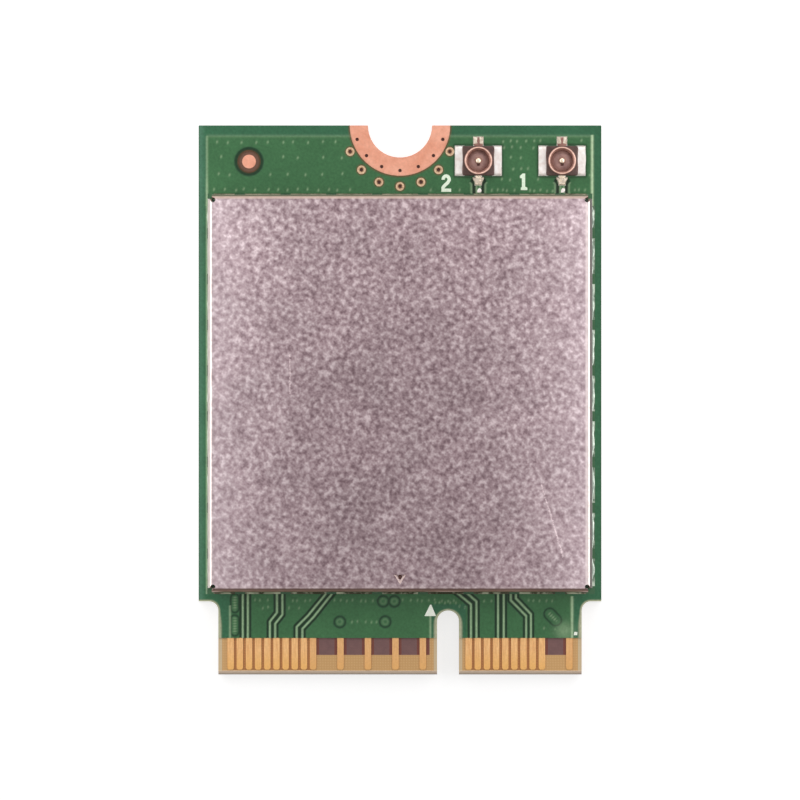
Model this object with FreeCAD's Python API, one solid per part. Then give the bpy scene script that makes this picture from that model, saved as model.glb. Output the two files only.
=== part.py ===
"""Laptop wireless card: a 22 by 30 mm edge-connector module with a screened radio and two antenna jacks.

Millimetres. +X runs across the card, +Y from the card edge to the screw notch, +Z from the underside
to the shield. The origin is under the middle of the board, on the plane of the underside.
"""
import FreeCAD, Part
import math
import os

V = FreeCAD.Vector

# Board
board_width = 22.0
board_length = 30.0
laminate_thickness = 0.72
copper_thickness = 0.04
mask_thickness = 0.055

# Card edge: a tongue with a key notch
tongue_length = 4.0
shoulder_width = 1.075
shoulder_fillet = 0.5
edge_bevel = 0.18
mask_to_card_edge = 2.0
key_width = 1.2
key_depth = 3.5
pins_beside_key = (23, 32)

# Contact fingers: odd pins on top, even pins underneath, evenly spread between two margins
pin_count = 75
end_pin_margin = 0.675
finger_share_of_pitch = 0.7
finger_setback = 0.27
finger_tip_chamfer = 0.08
top_pins = [1, *range(7, 24, 2), 33, 39, 45, 51, *range(57, 76, 2)]
bottom_pins = [*range(2, 23, 2), *range(32, 75, 2)]

# Screw notch: a plated half hole with a ring of drilled holes in its pad
notch_radius = 1.75
notch_pad_radius = 2.75
plating_thickness = 0.04
pad_hole_radius = 0.1
pad_hole_ring_radius = 2.46
pad_hole_count = 7
pad_hole_step = 24.0

# Ground vias round the screw pad
via_bore_radius = 0.09
via_barrel_thickness = 0.03
via_ring_width = 0.12
via_circle_radius = 2.9
via_circle_drop = 0.43
via_count = 7
via_step = 23.3

# Small drilled holes and their rings are drawn with this many sides
small_round_sides = 8

# Fiducial
fiducial_radius = 0.375
fiducial_opening_radius = 0.56
fiducial_from_left = 2.75
fiducial_from_top = 1.97

# Test pads on the underside
test_pad_radius = 0.4
test_pad_pitch = 1.9
test_pad_columns = 3
test_pad_rows = 2
test_pads_from_left = 7.6
test_pads_from_top = 8.5

# Shield: one folded can that stands on castellated feet
shield_side_margin = 0.52
shield_top_margin = 3.81
shield_shoulder_margin = 0.53
shield_height = 1.4
shield_wall = 0.15
shield_bend_radius = 0.28
relief_radius = 0.14
corner_slit = 0.05
foot_pitch = 2.5
foot_gap = 0.55
foot_gap_height = 0.22
stamp_half_width = 0.27
stamp_length = 0.46
stamp_depth = 0.06
stamp_from_edge = 0.4

# Shield pads and solder
shield_pad_inner = 0.12
shield_pad_outer = 0.17
shield_pad_corner_gap = 0.3
fillet_width = 0.14
fillet_height = 0.24
fillet_end_gap = 0.03

# Antenna jacks: a contact ring and a centre pin moulded into a square housing
jack_1_from_right = 2.15
jack_2_from_screw_pad = 1.53
jack_from_top = 1.93
housing_side = 1.7
housing_height = 0.2
housing_corner_chamfer = 0.08
housing_floor_height = 0.28
ring_radius = 0.77
ring_wall = 0.2
ring_height = 0.6
ring_lip = 0.05
ring_taper = 0.03
ring_taper_above_housing = 0.03
ring_doorway_clearance = 0.12
centre_pin_radius = 0.15
centre_pin_height = 0.48
centre_pin_tip = 0.06
strip_thickness = 0.08
side_foot_reach = 1.24
side_foot_width = 1.55
back_foot_width = 0.48
back_foot_reach = 1.28
tail_width = 0.3
tail_reach = 1.3
jack_pad_inset = 0.1
pad_margin = 0.05
solder_thickness = 0.03

# Radio chip and the pad that carries its heat to the shield
chip_side = 7.6
chip_height = 0.85
chip_lands_per_side = 8
chip_land_pitch = 0.8
chip_land_width = 0.4
chip_land_length = 0.5
chip_slug_side = 4.6
chip_below_centre = 1.4
chip_dimple_radius = 0.3
chip_dimple_depth = 0.06
chip_dimple_inset = 0.75
thermal_pad_side = 4.8

# Antenna front end: one module and one diplexer behind each jack
front_end_side = 2.2
front_end_height = 0.6
front_end_from_back = 3.83
front_end_land_offset = 0.5
front_end_land_width = 0.35
diplexer_length = 1.6
diplexer_width = 0.8
diplexer_height = 0.55
diplexer_gap = 0.6

# Clock and power parts in a column left of the chip
column_gap = 1.5
crystal_length = 2.5
crystal_width = 2.0
crystal_base_height = 0.35
crystal_lid_height = 0.2
crystal_lid_margin = 0.18
crystal_land_length = 0.8
crystal_land_width = 0.65
inductor_side = 2.0
inductor_height = 1.0
inductor_end = 0.45
inductor_count = 2
inductor_gap = 1.0

# Capacitors and resistors in rows round the chip
chip_part_length = 1.0
chip_part_width = 0.5
chip_part_end = 0.25
chip_part_pitch = 1.05
chip_part_row_gap = 0.9
capacitor_height = 0.5
resistor_height = 0.35
capacitor_row_count = 6
capacitor_column_count = 5
resistor_count = 4
window_margin = 0.1

# Levels and edges that follow from the sizes above
top, bottom = board_length / 2, -board_length / 2
left, right = -board_width / 2, board_width / 2
shoulder = bottom + tongue_length
mask_edge = bottom + mask_to_card_edge
laminate_bottom = mask_thickness
laminate_top = laminate_bottom + laminate_thickness
copper_bottom = laminate_bottom - copper_thickness
copper_top = laminate_top + copper_thickness
mask_top = laminate_top + mask_thickness
seat = copper_top + solder_thickness
tongue_half = board_width / 2 - shoulder_width
contact_span = 2 * (tongue_half - end_pin_margin)
pin_step = contact_span / (pin_count - 1)
finger_width = finger_share_of_pitch * 2 * pin_step
shield_half_x = board_width / 2 - shield_side_margin
shield_front = shoulder + shield_shoulder_margin
shield_back = top - shield_top_margin
shield_y = (shield_front + shield_back) / 2
shield_half_y = (shield_back - shield_front) / 2
shield_top = mask_top + shield_height
ceiling = shield_top - shield_wall
jack_y = top - jack_from_top
jack_xs = [right - jack_1_from_right, notch_pad_radius + jack_2_from_screw_pad]
chip_y = shield_y - chip_below_centre
front_end_y = shield_back - front_end_from_back
diplexer_y = front_end_y + (front_end_side + diplexer_width) / 2 + diplexer_gap
crystal_x = -(chip_side + crystal_length) / 2 - column_gap
crystal_y = chip_y + chip_side / 2


def box(x0, x1, y0, y1, z0, z1):
    return Part.makeBox(x1 - x0, y1 - y0, z1 - z0, V(x0, y0, z0))


def block(x, y, size_x, size_y, z0, z1):
    """A box centred on x, y."""
    return box(x - size_x / 2, x + size_x / 2, y - size_y / 2, y + size_y / 2, z0, z1)


def disc(x, y, radius, z0, z1):
    return Part.makeCylinder(radius, z1 - z0, V(x, y, z0))


def prism(points, vector):
    """A polygon of 3-D points swept along a vector."""
    wire = Part.makePolygon([V(*p) for p in points + points[:1]])
    return Part.Face(wire).extrude(V(*vector))


def polar(radius, degrees, drop):
    """A point on a circle whose centre lies a drop below the screw notch's axis."""
    angle = math.radians(degrees)
    return radius * math.cos(angle), top - drop + radius * math.sin(angle)


def small_round(x, y, radius, z0, z1):
    """A drilled hole or its ring, with flat sides."""
    turns = [2 * math.pi * i / small_round_sides for i in range(small_round_sides)]
    points = [(x + radius * math.cos(a), y + radius * math.sin(a), z0) for a in turns]
    return prism(points, (0, 0, z1 - z0))


def revolved(x, y, section, degrees):
    """A section of (radius, height) points turned about the upright axis through x, y."""
    wire = Part.makePolygon([V(x - r, y, z) for r, z in section + section[:1]])
    return Part.Face(wire).revolve(V(x, y, 0), V(0, 0, 1), degrees)


def fan(radius, count, step, drop):
    """Places on an arc below the screw notch, evenly spread about straight down."""
    first = -90 - step * (count - 1) / 2
    return [polar(radius, first + i * step, drop) for i in range(count)]


def rounded_outline(corners, z):
    """A closed wire through (x, y, radius) corners, each rounded by a tangent arc of its radius."""
    edges = []
    ends = []
    for i, (x, y, radius) in enumerate(corners):
        here = V(x, y, z)
        if radius == 0:
            ends.append((here, here))
            continue
        before = (V(*corners[i - 1][:2], z) - here).normalize()
        after = (V(*corners[(i + 1) % len(corners)][:2], z) - here).normalize()
        half_angle = before.getAngle(after) / 2
        reach = radius / math.tan(half_angle)
        middle = here + (before + after).normalize() * (radius / math.sin(half_angle) - radius)
        ends.append((here + before * reach, here + after * reach))
        edges.append(Part.Arc(ends[-1][0], middle, ends[-1][1]).toShape())
    for i, (_, start) in enumerate(ends):
        finish = ends[(i + 1) % len(ends)][0]
        if start.distanceToPoint(finish) > 1e-7:
            edges.append(Part.LineSegment(start, finish).toShape())
    return Part.Wire(Part.__sortEdges__(edges))


# Board


def pin_x(pin):
    """Pin 1 is at the right, and each next pin is half a contact pitch further left."""
    return contact_span / 2 - (pin - 1) * pin_step


def board_plate(z0, z1):
    """The board between two heights, with its tongue and key notch but no screw notch."""
    key_left = sum(pin_x(pin) for pin in pins_beside_key) / 2 - key_width / 2
    key_right = key_left + key_width
    key_end = bottom + key_depth
    corners = [
        (-tongue_half, bottom, 0),
        (key_left, bottom, 0),
        (key_left, key_end, key_width / 2),
        (key_right, key_end, key_width / 2),
        (key_right, bottom, 0),
        (tongue_half, bottom, 0),
        (tongue_half, shoulder, shoulder_fillet),
        (right, shoulder, 0),
        (right, top, 0),
        (left, top, 0),
        (left, shoulder, 0),
        (-tongue_half, shoulder, shoulder_fillet),
    ]
    return Part.Face(rounded_outline(corners, z0)).extrude(V(0, 0, z1 - z0))


def card_edge_bevels():
    """Wedges that bevel the upper and lower edges of the card edge."""
    bevels = []
    for z, inward in ((laminate_top, -edge_bevel), (laminate_bottom, edge_bevel)):
        section = [(left, bottom, z + inward), (left, bottom, z), (left, bottom + edge_bevel, z)]
        bevels.append(prism(section, (board_width, 0, 0)))
    return bevels


def pad_holes():
    places = fan(pad_hole_ring_radius, pad_hole_count, pad_hole_step, 0)
    return [small_round(x, y, pad_hole_radius, 0, mask_top) for x, y in places]


def via_prisms(radius, z0, z1):
    places = fan(via_circle_radius, via_count, via_step, via_circle_drop)
    return [small_round(x, y, radius, z0, z1) for x, y in places]


def laminate():
    cuts = card_edge_bevels() + pad_holes()
    cuts.append(disc(0, top, notch_radius + plating_thickness, laminate_bottom, laminate_top))
    cuts += via_prisms(via_bore_radius + via_barrel_thickness, laminate_bottom, laminate_top)
    return board_plate(laminate_bottom, laminate_top).cut(cuts)


def half_eyelet():
    """The screw notch's plating: a C-shaped section swept half a turn about the notch's axis."""
    r0, r1, r2 = notch_radius, notch_radius + plating_thickness, notch_pad_radius
    section = [
        (r0, copper_bottom), (r2, copper_bottom), (r2, laminate_bottom), (r1, laminate_bottom),
        (r1, laminate_top), (r2, laminate_top), (r2, copper_top), (r0, copper_top),
    ]
    return revolved(0, top, section, 180).cut(pad_holes())


def via_eyelets():
    """Plated barrels with a ring at each face of the board."""
    barrel_radius = via_bore_radius + via_barrel_thickness
    ring = barrel_radius + via_ring_width
    barrels = via_prisms(barrel_radius, copper_bottom, copper_top)
    lower = via_prisms(ring, copper_bottom, laminate_bottom)
    upper = via_prisms(ring, laminate_top, copper_top)
    bores = via_prisms(via_bore_radius, 0, mask_top)
    parts = zip(barrels, lower, upper, bores)
    return [barrel.fuse([low, high]).cut(bore) for barrel, low, high, bore in parts]


def finger(pin, z0, z1):
    x, half, tip = pin_x(pin), finger_width / 2, bottom + finger_setback
    cut = finger_tip_chamfer
    points = [
        (x - half + cut, tip, z0), (x + half - cut, tip, z0), (x + half, tip + cut, z0),
        (x + half, mask_edge, z0), (x - half, mask_edge, z0), (x - half, tip + cut, z0),
    ]
    return prism(points, (0, 0, z1 - z0))


def fiducial(radius, z0, z1):
    return disc(left + fiducial_from_left, top - fiducial_from_top, radius, z0, z1)


def test_pads():
    x0, y0 = left + test_pads_from_left, top - test_pads_from_top
    pads = []
    for column in range(test_pad_columns):
        for row in range(test_pad_rows):
            x, y = x0 + column * test_pad_pitch, y0 - row * test_pad_pitch
            pads.append(small_round(x, y, test_pad_radius, copper_bottom, laminate_bottom))
    return pads


def mask_plate(z0, z1):
    """Solder mask over the board, with openings at the fingers, the screw pad and the ground vias."""
    cuts = [box(left, right, bottom, mask_edge, z0, z1), disc(0, top, notch_pad_radius, z0, z1)]
    cuts += via_prisms(via_bore_radius + via_barrel_thickness + via_ring_width, z0, z1)
    return board_plate(z0, z1).cut(cuts)


def solder_mask_top():
    cuts = [fiducial(fiducial_opening_radius, laminate_top, mask_top)]
    cuts += shield_pads(mask_top)
    cuts += [block(*pad, laminate_top, mask_top) for x in jack_xs for pad in jack_pads(x)]
    cuts += [block(*window, laminate_top, mask_top) for window in part_windows()]
    return mask_plate(laminate_top, mask_top).cut(cuts)


def solder_mask_bottom():
    return mask_plate(0, laminate_bottom).cut(test_pads())


# Shield


def gap_centres(half_length):
    """Where the gaps between the feet lie along one side, measured from its middle."""
    count = int((half_length - foot_gap) / foot_pitch + 0.5)
    return sorted(s * (i + 0.5) * foot_pitch for i in range(count) for s in (-1, 1))


def feet(half_length):
    """Start and end of each foot along one side, measured from its middle."""
    gaps = gap_centres(half_length)
    end = half_length - shield_pad_corner_gap
    starts = [-end] + [gap + foot_gap / 2 for gap in gaps]
    finishes = [gap - foot_gap / 2 for gap in gaps] + [end]
    return list(zip(starts, finishes))


def wall_prism(side, section, start, finish):
    """A section of (outwards, height) points swept along one side of the shield."""
    sign = -1 if side in ("left", "front") else 1
    if side in ("left", "right"):
        points = [(sign * (shield_half_x + out), shield_y + start, z) for out, z in section]
        return prism(points, (0, finish - start, 0))
    points = [(start, shield_y + sign * (shield_half_y + out), z) for out, z in section]
    return prism(points, (finish - start, 0, 0))


def wall_box(side, start, finish, out0, out1, z0, z1):
    return wall_prism(side, [(out0, z0), (out1, z0), (out1, z1), (out0, z1)], start, finish)


def shield_sides():
    """The four sides and half the length of each."""
    return [("left", shield_half_y), ("right", shield_half_y), ("front", shield_half_x), ("back", shield_half_x)]


def shield_feet():
    return [(side, start, finish) for side, half in shield_sides() for start, finish in feet(half)]


def shield_pads(z1):
    """Copper under each foot, or the mask opening over it, up to a height."""
    inner = -shield_wall - shield_pad_inner
    return [wall_box(side, start, finish, inner, shield_pad_outer, laminate_top, z1)
            for side, start, finish in shield_feet()]


def shield_solder():
    """Fillets on the outside of each foot, from its pad up its wall."""
    section = [(0, copper_top), (fillet_width, copper_top), (0, copper_top + fillet_height)]
    return [wall_prism(side, section, start + fillet_end_gap, finish - fillet_end_gap)
            for side, start, finish in shield_feet()]


def bent_box(inset, z0, z1, bend):
    """A box inset from the shield's outer faces, with its upper edges bent over."""
    half_x, half_y = shield_half_x - inset, shield_half_y - inset
    body = block(0, shield_y, 2 * half_x, 2 * half_y, z0, z1)
    upper = [edge for edge in body.Edges if all(abs(v.Z - z1) < 1e-6 for v in edge.Vertexes)]
    return body.makeFillet(bend, upper)


def corner_cuts():
    """At each corner a round relief through the top and a slit between the two folded walls."""
    cuts = []
    for sx in (-1, 1):
        for sy in (-1, 1):
            x = sx * (shield_half_x - shield_bend_radius)
            y = shield_y + sy * (shield_half_y - shield_bend_radius)
            cuts.append(small_round(x, y, relief_radius, ceiling - shield_bend_radius, shield_top))
            slit = box(0, 2 * shield_bend_radius, -corner_slit / 2, corner_slit / 2, mask_top, shield_top)
            slit.rotate(V(0, 0, 0), V(0, 0, 1), math.degrees(math.atan2(sy, sx)))
            slit.translate(V(x, y, 0))
            cuts.append(slit)
    return cuts


def foot_gaps():
    """Gaps between the feet, where traces pass under the walls."""
    gap_top = mask_top + foot_gap_height
    return [wall_box(side, centre - foot_gap / 2, centre + foot_gap / 2, -2 * shield_wall, shield_wall,
                     mask_top, gap_top)
            for side, half in shield_sides() for centre in gap_centres(half)]


def stamp():
    """A shallow pressed arrow that points to the card edge."""
    point = shield_front + stamp_from_edge
    z0 = shield_top - stamp_depth
    corners = [(-stamp_half_width, point + stamp_length, z0), (0, point, z0),
               (stamp_half_width, point + stamp_length, z0)]
    return prism(corners, (0, 0, stamp_depth))


def shield_can():
    """Top and walls stand on the mask, and the feet reach down through it to their pads."""
    outer = bent_box(0, mask_top, shield_top, shield_bend_radius)
    inner = bent_box(shield_wall, mask_top, ceiling, shield_bend_radius - shield_wall)
    tabs = [wall_box(side, start, finish, -shield_wall, 0, copper_top, mask_top)
            for side, start, finish in shield_feet()]
    can = outer.cut([inner, stamp()] + corner_cuts() + foot_gaps())
    return can.fuse(tabs).removeSplitter()


# Antenna jacks


def contact_ring(x):
    """The ring that a plug grips. Inside the housing it narrows towards its foot."""
    r0, r1, foot = ring_radius - ring_wall, ring_radius, ring_radius - ring_taper
    straight = seat + housing_height + ring_taper_above_housing
    rim = mask_top + ring_height
    section = [
        (r0, seat), (foot, seat), (r1, straight), (r1, rim - ring_lip), (r1 - ring_lip, rim), (r0, rim),
    ]
    return revolved(x, jack_y, section, 360)


def jack_shell(x):
    """Contact ring, two side feet and a back foot, all from one strip of metal."""
    strip_top = seat + strip_thickness
    ring_foot = ring_radius - ring_taper
    strip = block(x, jack_y, 2 * side_foot_reach, side_foot_width, seat, strip_top)
    strip = strip.cut(disc(x, jack_y, ring_foot, seat, strip_top))
    back = box(x - back_foot_width / 2, x + back_foot_width / 2, jack_y + ring_foot - ring_wall / 2,
               jack_y + back_foot_reach, seat, strip_top)
    doorway = tail_width / 2 + ring_doorway_clearance
    passage = box(x - doorway, x + doorway, jack_y - side_foot_width, jack_y, seat,
                  strip_top + ring_doorway_clearance)
    return contact_ring(x).fuse([strip, back]).removeSplitter().cut(passage)


def jack_pin(x):
    """Centre contact: a round post on a flat tail that leaves through the front of the housing."""
    r, tip = centre_pin_radius, centre_pin_tip
    peak = mask_top + centre_pin_height
    post = revolved(x, jack_y, [(0, seat), (r, seat), (r, peak - tip), (r - tip, peak), (0, peak)], 360)
    tail = box(x - tail_width / 2, x + tail_width / 2, jack_y - tail_reach, jack_y, seat, seat + strip_thickness)
    return post.fuse(tail).removeSplitter()


def jack_housing(x, shell, pin):
    """Moulded base round the ring's foot, and a floor inside the ring."""
    base = block(x, jack_y, housing_side, housing_side, seat, seat + housing_height)
    upright = [edge for edge in base.Edges if abs(edge.Vertexes[0].Z - edge.Vertexes[1].Z) > 1e-6]
    base = base.makeChamfer(housing_corner_chamfer, upright)
    floor = disc(x, jack_y, ring_radius - ring_wall, seat, seat + housing_floor_height)
    return base.fuse(floor).cut([shell, pin])


def jack_pads(x):
    """Lands of one jack, as (x, y, size_x, size_y): two sides, back and signal."""
    edge = housing_side / 2 - jack_pad_inset
    side, back, tail = (reach + pad_margin - edge for reach in (side_foot_reach, back_foot_reach, tail_reach))
    depth = side_foot_width + 2 * pad_margin
    return [
        (x - edge - side / 2, jack_y, side, depth),
        (x + edge + side / 2, jack_y, side, depth),
        (x, jack_y + edge + back / 2, back_foot_width + 2 * pad_margin, back),
        (x, jack_y - edge - tail / 2, tail_width + 2 * pad_margin, tail),
    ]


# Parts under the shield


def row(count, pitch):
    """Places along a row about its middle."""
    return [(i - (count - 1) / 2) * pitch for i in range(count)]


def inductor_places():
    first = crystal_y - crystal_width / 2 - inductor_gap - inductor_side / 2
    return [(crystal_x, first - i * (inductor_side + inductor_gap), True) for i in range(inductor_count)]


def chip_part_reach():
    return chip_side / 2 + chip_part_row_gap + chip_part_length / 2


def capacitor_places():
    """A row below the chip and a column on its right: (x, y, lies along X)."""
    reach = chip_part_reach()
    places = [(a, chip_y - reach, False) for a in row(capacitor_row_count, chip_part_pitch)]
    return places + [(reach, chip_y + a, True) for a in row(capacitor_column_count, chip_part_pitch)]


def resistor_places():
    """A row above the chip's left half."""
    y = chip_y + chip_part_reach()
    return [(a - chip_side / 4, y, False) for a in row(resistor_count, chip_part_pitch)]


def along(lies_along_x, x, y, offset, length, width):
    """A rectangle that lies a distance along a part's length from its centre."""
    if lies_along_x:
        return (x + offset, y, length, width)
    return (x, y + offset, width, length)


def two_ended_kinds():
    """The two-ended parts: name, places, length, width, height, length of each end cap."""
    small = (chip_part_length, chip_part_width)
    diplexers = [(x, diplexer_y, True) for x in jack_xs]
    return [
        ("antenna_diplexers", diplexers, diplexer_length, diplexer_width, diplexer_height, chip_part_end),
        ("power_inductors", inductor_places(), inductor_side, inductor_side, inductor_height, inductor_end),
        ("capacitors", capacitor_places(), *small, capacitor_height, chip_part_end),
        ("resistors", resistor_places(), *small, resistor_height, chip_part_end),
    ]


def chip_lands():
    reach = chip_side / 2 - chip_land_length / 2 + pad_margin
    lands = [(0, chip_y, chip_slug_side, chip_slug_side)]
    for a in row(chip_lands_per_side, chip_land_pitch):
        for s in (-1, 1):
            lands.append((a, chip_y + s * reach, chip_land_width, chip_land_length))
            lands.append((s * reach, chip_y + a, chip_land_length, chip_land_width))
    return lands


def front_end_lands(x):
    """A centre land and four corner ones."""
    reach = (front_end_side - front_end_land_width) / 2
    lands = [(x, front_end_y, front_end_side / 2, front_end_side / 2)]
    for a in (-front_end_land_offset, front_end_land_offset):
        for s in (-1, 1):
            lands.append((x + s * reach, front_end_y + a, front_end_land_width, front_end_land_width))
    return lands


def crystal_lands():
    dx, dy = (crystal_length - crystal_land_length) / 2, (crystal_width - crystal_land_width) / 2
    return [(crystal_x + sx * dx, crystal_y + sy * dy, crystal_land_length, crystal_land_width)
            for sx in (-1, 1) for sy in (-1, 1)]


def part_lands():
    """Every tinned land under the shield, as (x, y, size_x, size_y)."""
    lands = chip_lands() + crystal_lands()
    for x in jack_xs:
        lands += front_end_lands(x)
    for _, places, length, width, _, end in two_ended_kinds():
        for x, y, lies_along_x in places:
            lands += [along(lies_along_x, x, y, s * (length - end) / 2, end + pad_margin, width + pad_margin)
                      for s in (-1, 1)]
    return lands


def part_windows():
    """Openings in the solder mask, one under each part."""
    grow = 2 * window_margin
    windows = [(0, chip_y, chip_side + grow, chip_side + grow),
               (crystal_x, crystal_y, crystal_length + grow, crystal_width + grow)]
    windows += [(x, front_end_y, front_end_side + grow, front_end_side + grow) for x in jack_xs]
    for _, places, length, width, _, _ in two_ended_kinds():
        windows += [along(lies_along_x, x, y, 0, length + grow, width + grow)
                    for x, y, lies_along_x in places]
    return windows


def radio_chip():
    chip = block(0, chip_y, chip_side, chip_side, seat, seat + chip_height)
    corner = chip_side / 2 - chip_dimple_inset
    dimple_floor = seat + chip_height - chip_dimple_depth
    return chip.cut(small_round(-corner, chip_y + corner, chip_dimple_radius, dimple_floor, seat + chip_height))


def write(name, *solids):
    """Writes one piece, or a group of like pieces, to its own file."""
    shape = solids[0] if len(solids) == 1 else Part.makeCompound(solids)
    shape.exportStep(os.path.join("parts", name + ".step"))


def write_board():
    write("board_laminate", laminate())
    write("solder_mask_top", solder_mask_top())
    write("solder_mask_bottom", solder_mask_bottom())
    write("board_half_eyelet", half_eyelet())
    write("ground_vias", *via_eyelets())
    write("contact_fingers_top", *[finger(pin, laminate_top, copper_top) for pin in top_pins])
    write("contact_fingers_bottom", *[finger(pin, copper_bottom, laminate_bottom) for pin in bottom_pins])
    write("fiducial_dot", fiducial(fiducial_radius, laminate_top, copper_top))
    write("test_pads", *test_pads())


def write_shield():
    write("shield_can", shield_can())
    write("shield_pads", *shield_pads(copper_top))
    write("shield_solder", *shield_solder())


def write_jacks():
    for number, x in enumerate(jack_xs, 1):
        shell = jack_shell(x)
        pin = jack_pin(x)
        write(f"antenna_jack_{number}_shell", shell)
        write(f"antenna_jack_{number}_pin", pin)
        write(f"antenna_jack_{number}_housing", jack_housing(x, shell, pin))
    pads = [pad for x in jack_xs for pad in jack_pads(x)]
    write("antenna_lands", *[block(*pad, laminate_top, copper_top) for pad in pads])
    write("antenna_solder", *[block(*pad, copper_top, seat) for pad in pads])


def write_two_ended_parts():
    caps = []
    for name, places, length, width, height, end in two_ended_kinds():
        bodies = []
        for x, y, lies_along_x in places:
            body = along(lies_along_x, x, y, 0, length - 2 * end, width)
            bodies.append(block(*body, seat, seat + height))
            for s in (-1, 1):
                cap = along(lies_along_x, x, y, s * (length - end) / 2, end, width)
                caps.append(block(*cap, seat, seat + height))
        write(name, *bodies)
    write("end_caps", *caps)


def write_crystal():
    lid_seat = seat + crystal_base_height
    lid_length, lid_width = crystal_length - 2 * crystal_lid_margin, crystal_width - 2 * crystal_lid_margin
    write("crystal_base", block(crystal_x, crystal_y, crystal_length, crystal_width, seat, lid_seat))
    write("crystal_lid", block(crystal_x, crystal_y, lid_length, lid_width, lid_seat,
                               lid_seat + crystal_lid_height))


def write_parts_under_shield():
    write("radio_chip", radio_chip())
    write("thermal_pad", block(0, chip_y, thermal_pad_side, thermal_pad_side, seat + chip_height, ceiling))
    for number, x in enumerate(jack_xs, 1):
        module = block(x, front_end_y, front_end_side, front_end_side, seat, seat + front_end_height)
        write(f"front_end_module_{number}", module)
    write_crystal()
    write_two_ended_parts()
    write("part_solder", *[block(*land, laminate_top, seat) for land in part_lands()])


os.makedirs("parts", exist_ok=True)
write_board()
write_shield()
write_jacks()
write_parts_under_shield()
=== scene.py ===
import math
import random
from functools import partialmethod

import bpy
import numpy as np
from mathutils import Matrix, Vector


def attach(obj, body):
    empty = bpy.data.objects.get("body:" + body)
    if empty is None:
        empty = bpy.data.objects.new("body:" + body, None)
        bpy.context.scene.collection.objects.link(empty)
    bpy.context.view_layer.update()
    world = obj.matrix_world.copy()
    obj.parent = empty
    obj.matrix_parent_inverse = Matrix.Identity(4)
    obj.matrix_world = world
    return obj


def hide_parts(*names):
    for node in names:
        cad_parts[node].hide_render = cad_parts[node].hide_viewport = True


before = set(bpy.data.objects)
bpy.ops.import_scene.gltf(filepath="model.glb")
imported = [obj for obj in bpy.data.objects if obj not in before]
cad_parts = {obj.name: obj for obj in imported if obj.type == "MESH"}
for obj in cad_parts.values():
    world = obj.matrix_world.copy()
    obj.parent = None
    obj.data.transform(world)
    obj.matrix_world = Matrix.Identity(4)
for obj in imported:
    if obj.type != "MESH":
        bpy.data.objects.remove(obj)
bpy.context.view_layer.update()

MM = 0.001

# Levels and places of the card, in millimetres, as the frame has them
MASK_BOTTOM, LAMINATE_TOP, COPPER_TOP, MASK_TOP, SEAT, SHIELD_TOP = 0.055, 0.775, 0.815, 0.83, 0.845, 2.23
HALF_WIDTH, HALF_LENGTH = 11.0, 15.0
TONGUE_HALF, SHOULDER_Y, MASK_EDGE_Y, FILLET = 9.925, -11.0, -13.0, 0.5
FILLET_X, FILLET_Y = TONGUE_HALF + FILLET, SHOULDER_Y - FILLET
SCREW_PAD_RADIUS = 2.75
SHIELD_Y, SHIELD_HALF_X, SHIELD_HALF_Y, SHIELD_BACK = 0.36, 10.48, 10.83, 11.28
JACK_Y, JACK_XS = 13.07, (8.85, 4.28)
RING_OUT, RING_IN, RIM = 0.77, 0.57, MASK_TOP + 0.6
FIDUCIAL, FIDUCIAL_WINDOW = (-8.25, 13.03), 0.56
KEY_LEFT, KEY_RIGHT, KEY_END, KEY_RADIUS = 2.025, 3.225, -11.5, 0.6
KEY_X, KEY_ROUND_Y = (KEY_LEFT + KEY_RIGHT) / 2, KEY_END - KEY_RADIUS
VIA_RADIUS, VIA_WINDOW = 0.25, 0.238

# Edges of the ground copper: all round, and in the strip before the contacts with the key's left side
POUR_LEFT, POUR_RIGHT, POUR_REAR = -10.55, 10.5, 14.42
FRONT_LEFT, FRONT_RIGHT, FRONT_KEY = -9.29, 9.4, 1.66

# The picture's pixels a millimetre across and along, and where the card's middle and rear edge lie in it
PICTURE_ACROSS, PICTURE_ALONG, PICTURE_MIDDLE, PICTURE_REAR = 18.64, 17.98, 399.7, 130.5


def arc(start, end, steps, radius, x=0.0, y=0.0, radius_y=None):
    """Places along an arc from one angle to another, in degrees, about x, y."""
    angles = [math.radians(start + (end - start) * k / steps) for k in range(steps + 1)]
    return [(x + radius * math.cos(a), y + (radius_y or radius) * math.sin(a)) for a in angles]


def from_picture(path):
    """Places measured on the 800 by 800 picture, in millimetres on the card."""
    return [((px - PICTURE_MIDDLE) / PICTURE_ACROSS, HALF_LENGTH - (py - PICTURE_REAR) / PICTURE_ALONG)
            for px, py in path]


VIA_PLACES = arc(-159.9, -20.1, 6, 2.9, 0.0, 14.57)


# Meshes


def smoothed(mesh, sharp):
    """Shades a mesh smooth up to an angle."""
    mesh.polygons.foreach_set("use_smooth", [True] * len(mesh.polygons))
    mesh.set_sharp_from_angle(angle=sharp)


def piece(name, points, faces, slot, material, sharp=0.6, replaces=None):
    """A mesh piece of points in millimetres that rides on the card."""
    mesh = bpy.data.meshes.new(name)
    mesh.from_pydata([tuple(float(c) * MM for c in p) for p in points], [],
                     [tuple(int(i) for i in f) for f in faces])
    mesh.update()
    smoothed(mesh, sharp)
    obj = bpy.data.objects.new(name, mesh)
    bpy.context.scene.collection.objects.link(obj)
    mesh.materials.append(material)
    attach(obj, "root")
    if replaces:
        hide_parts(replaces)
    return obj


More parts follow.
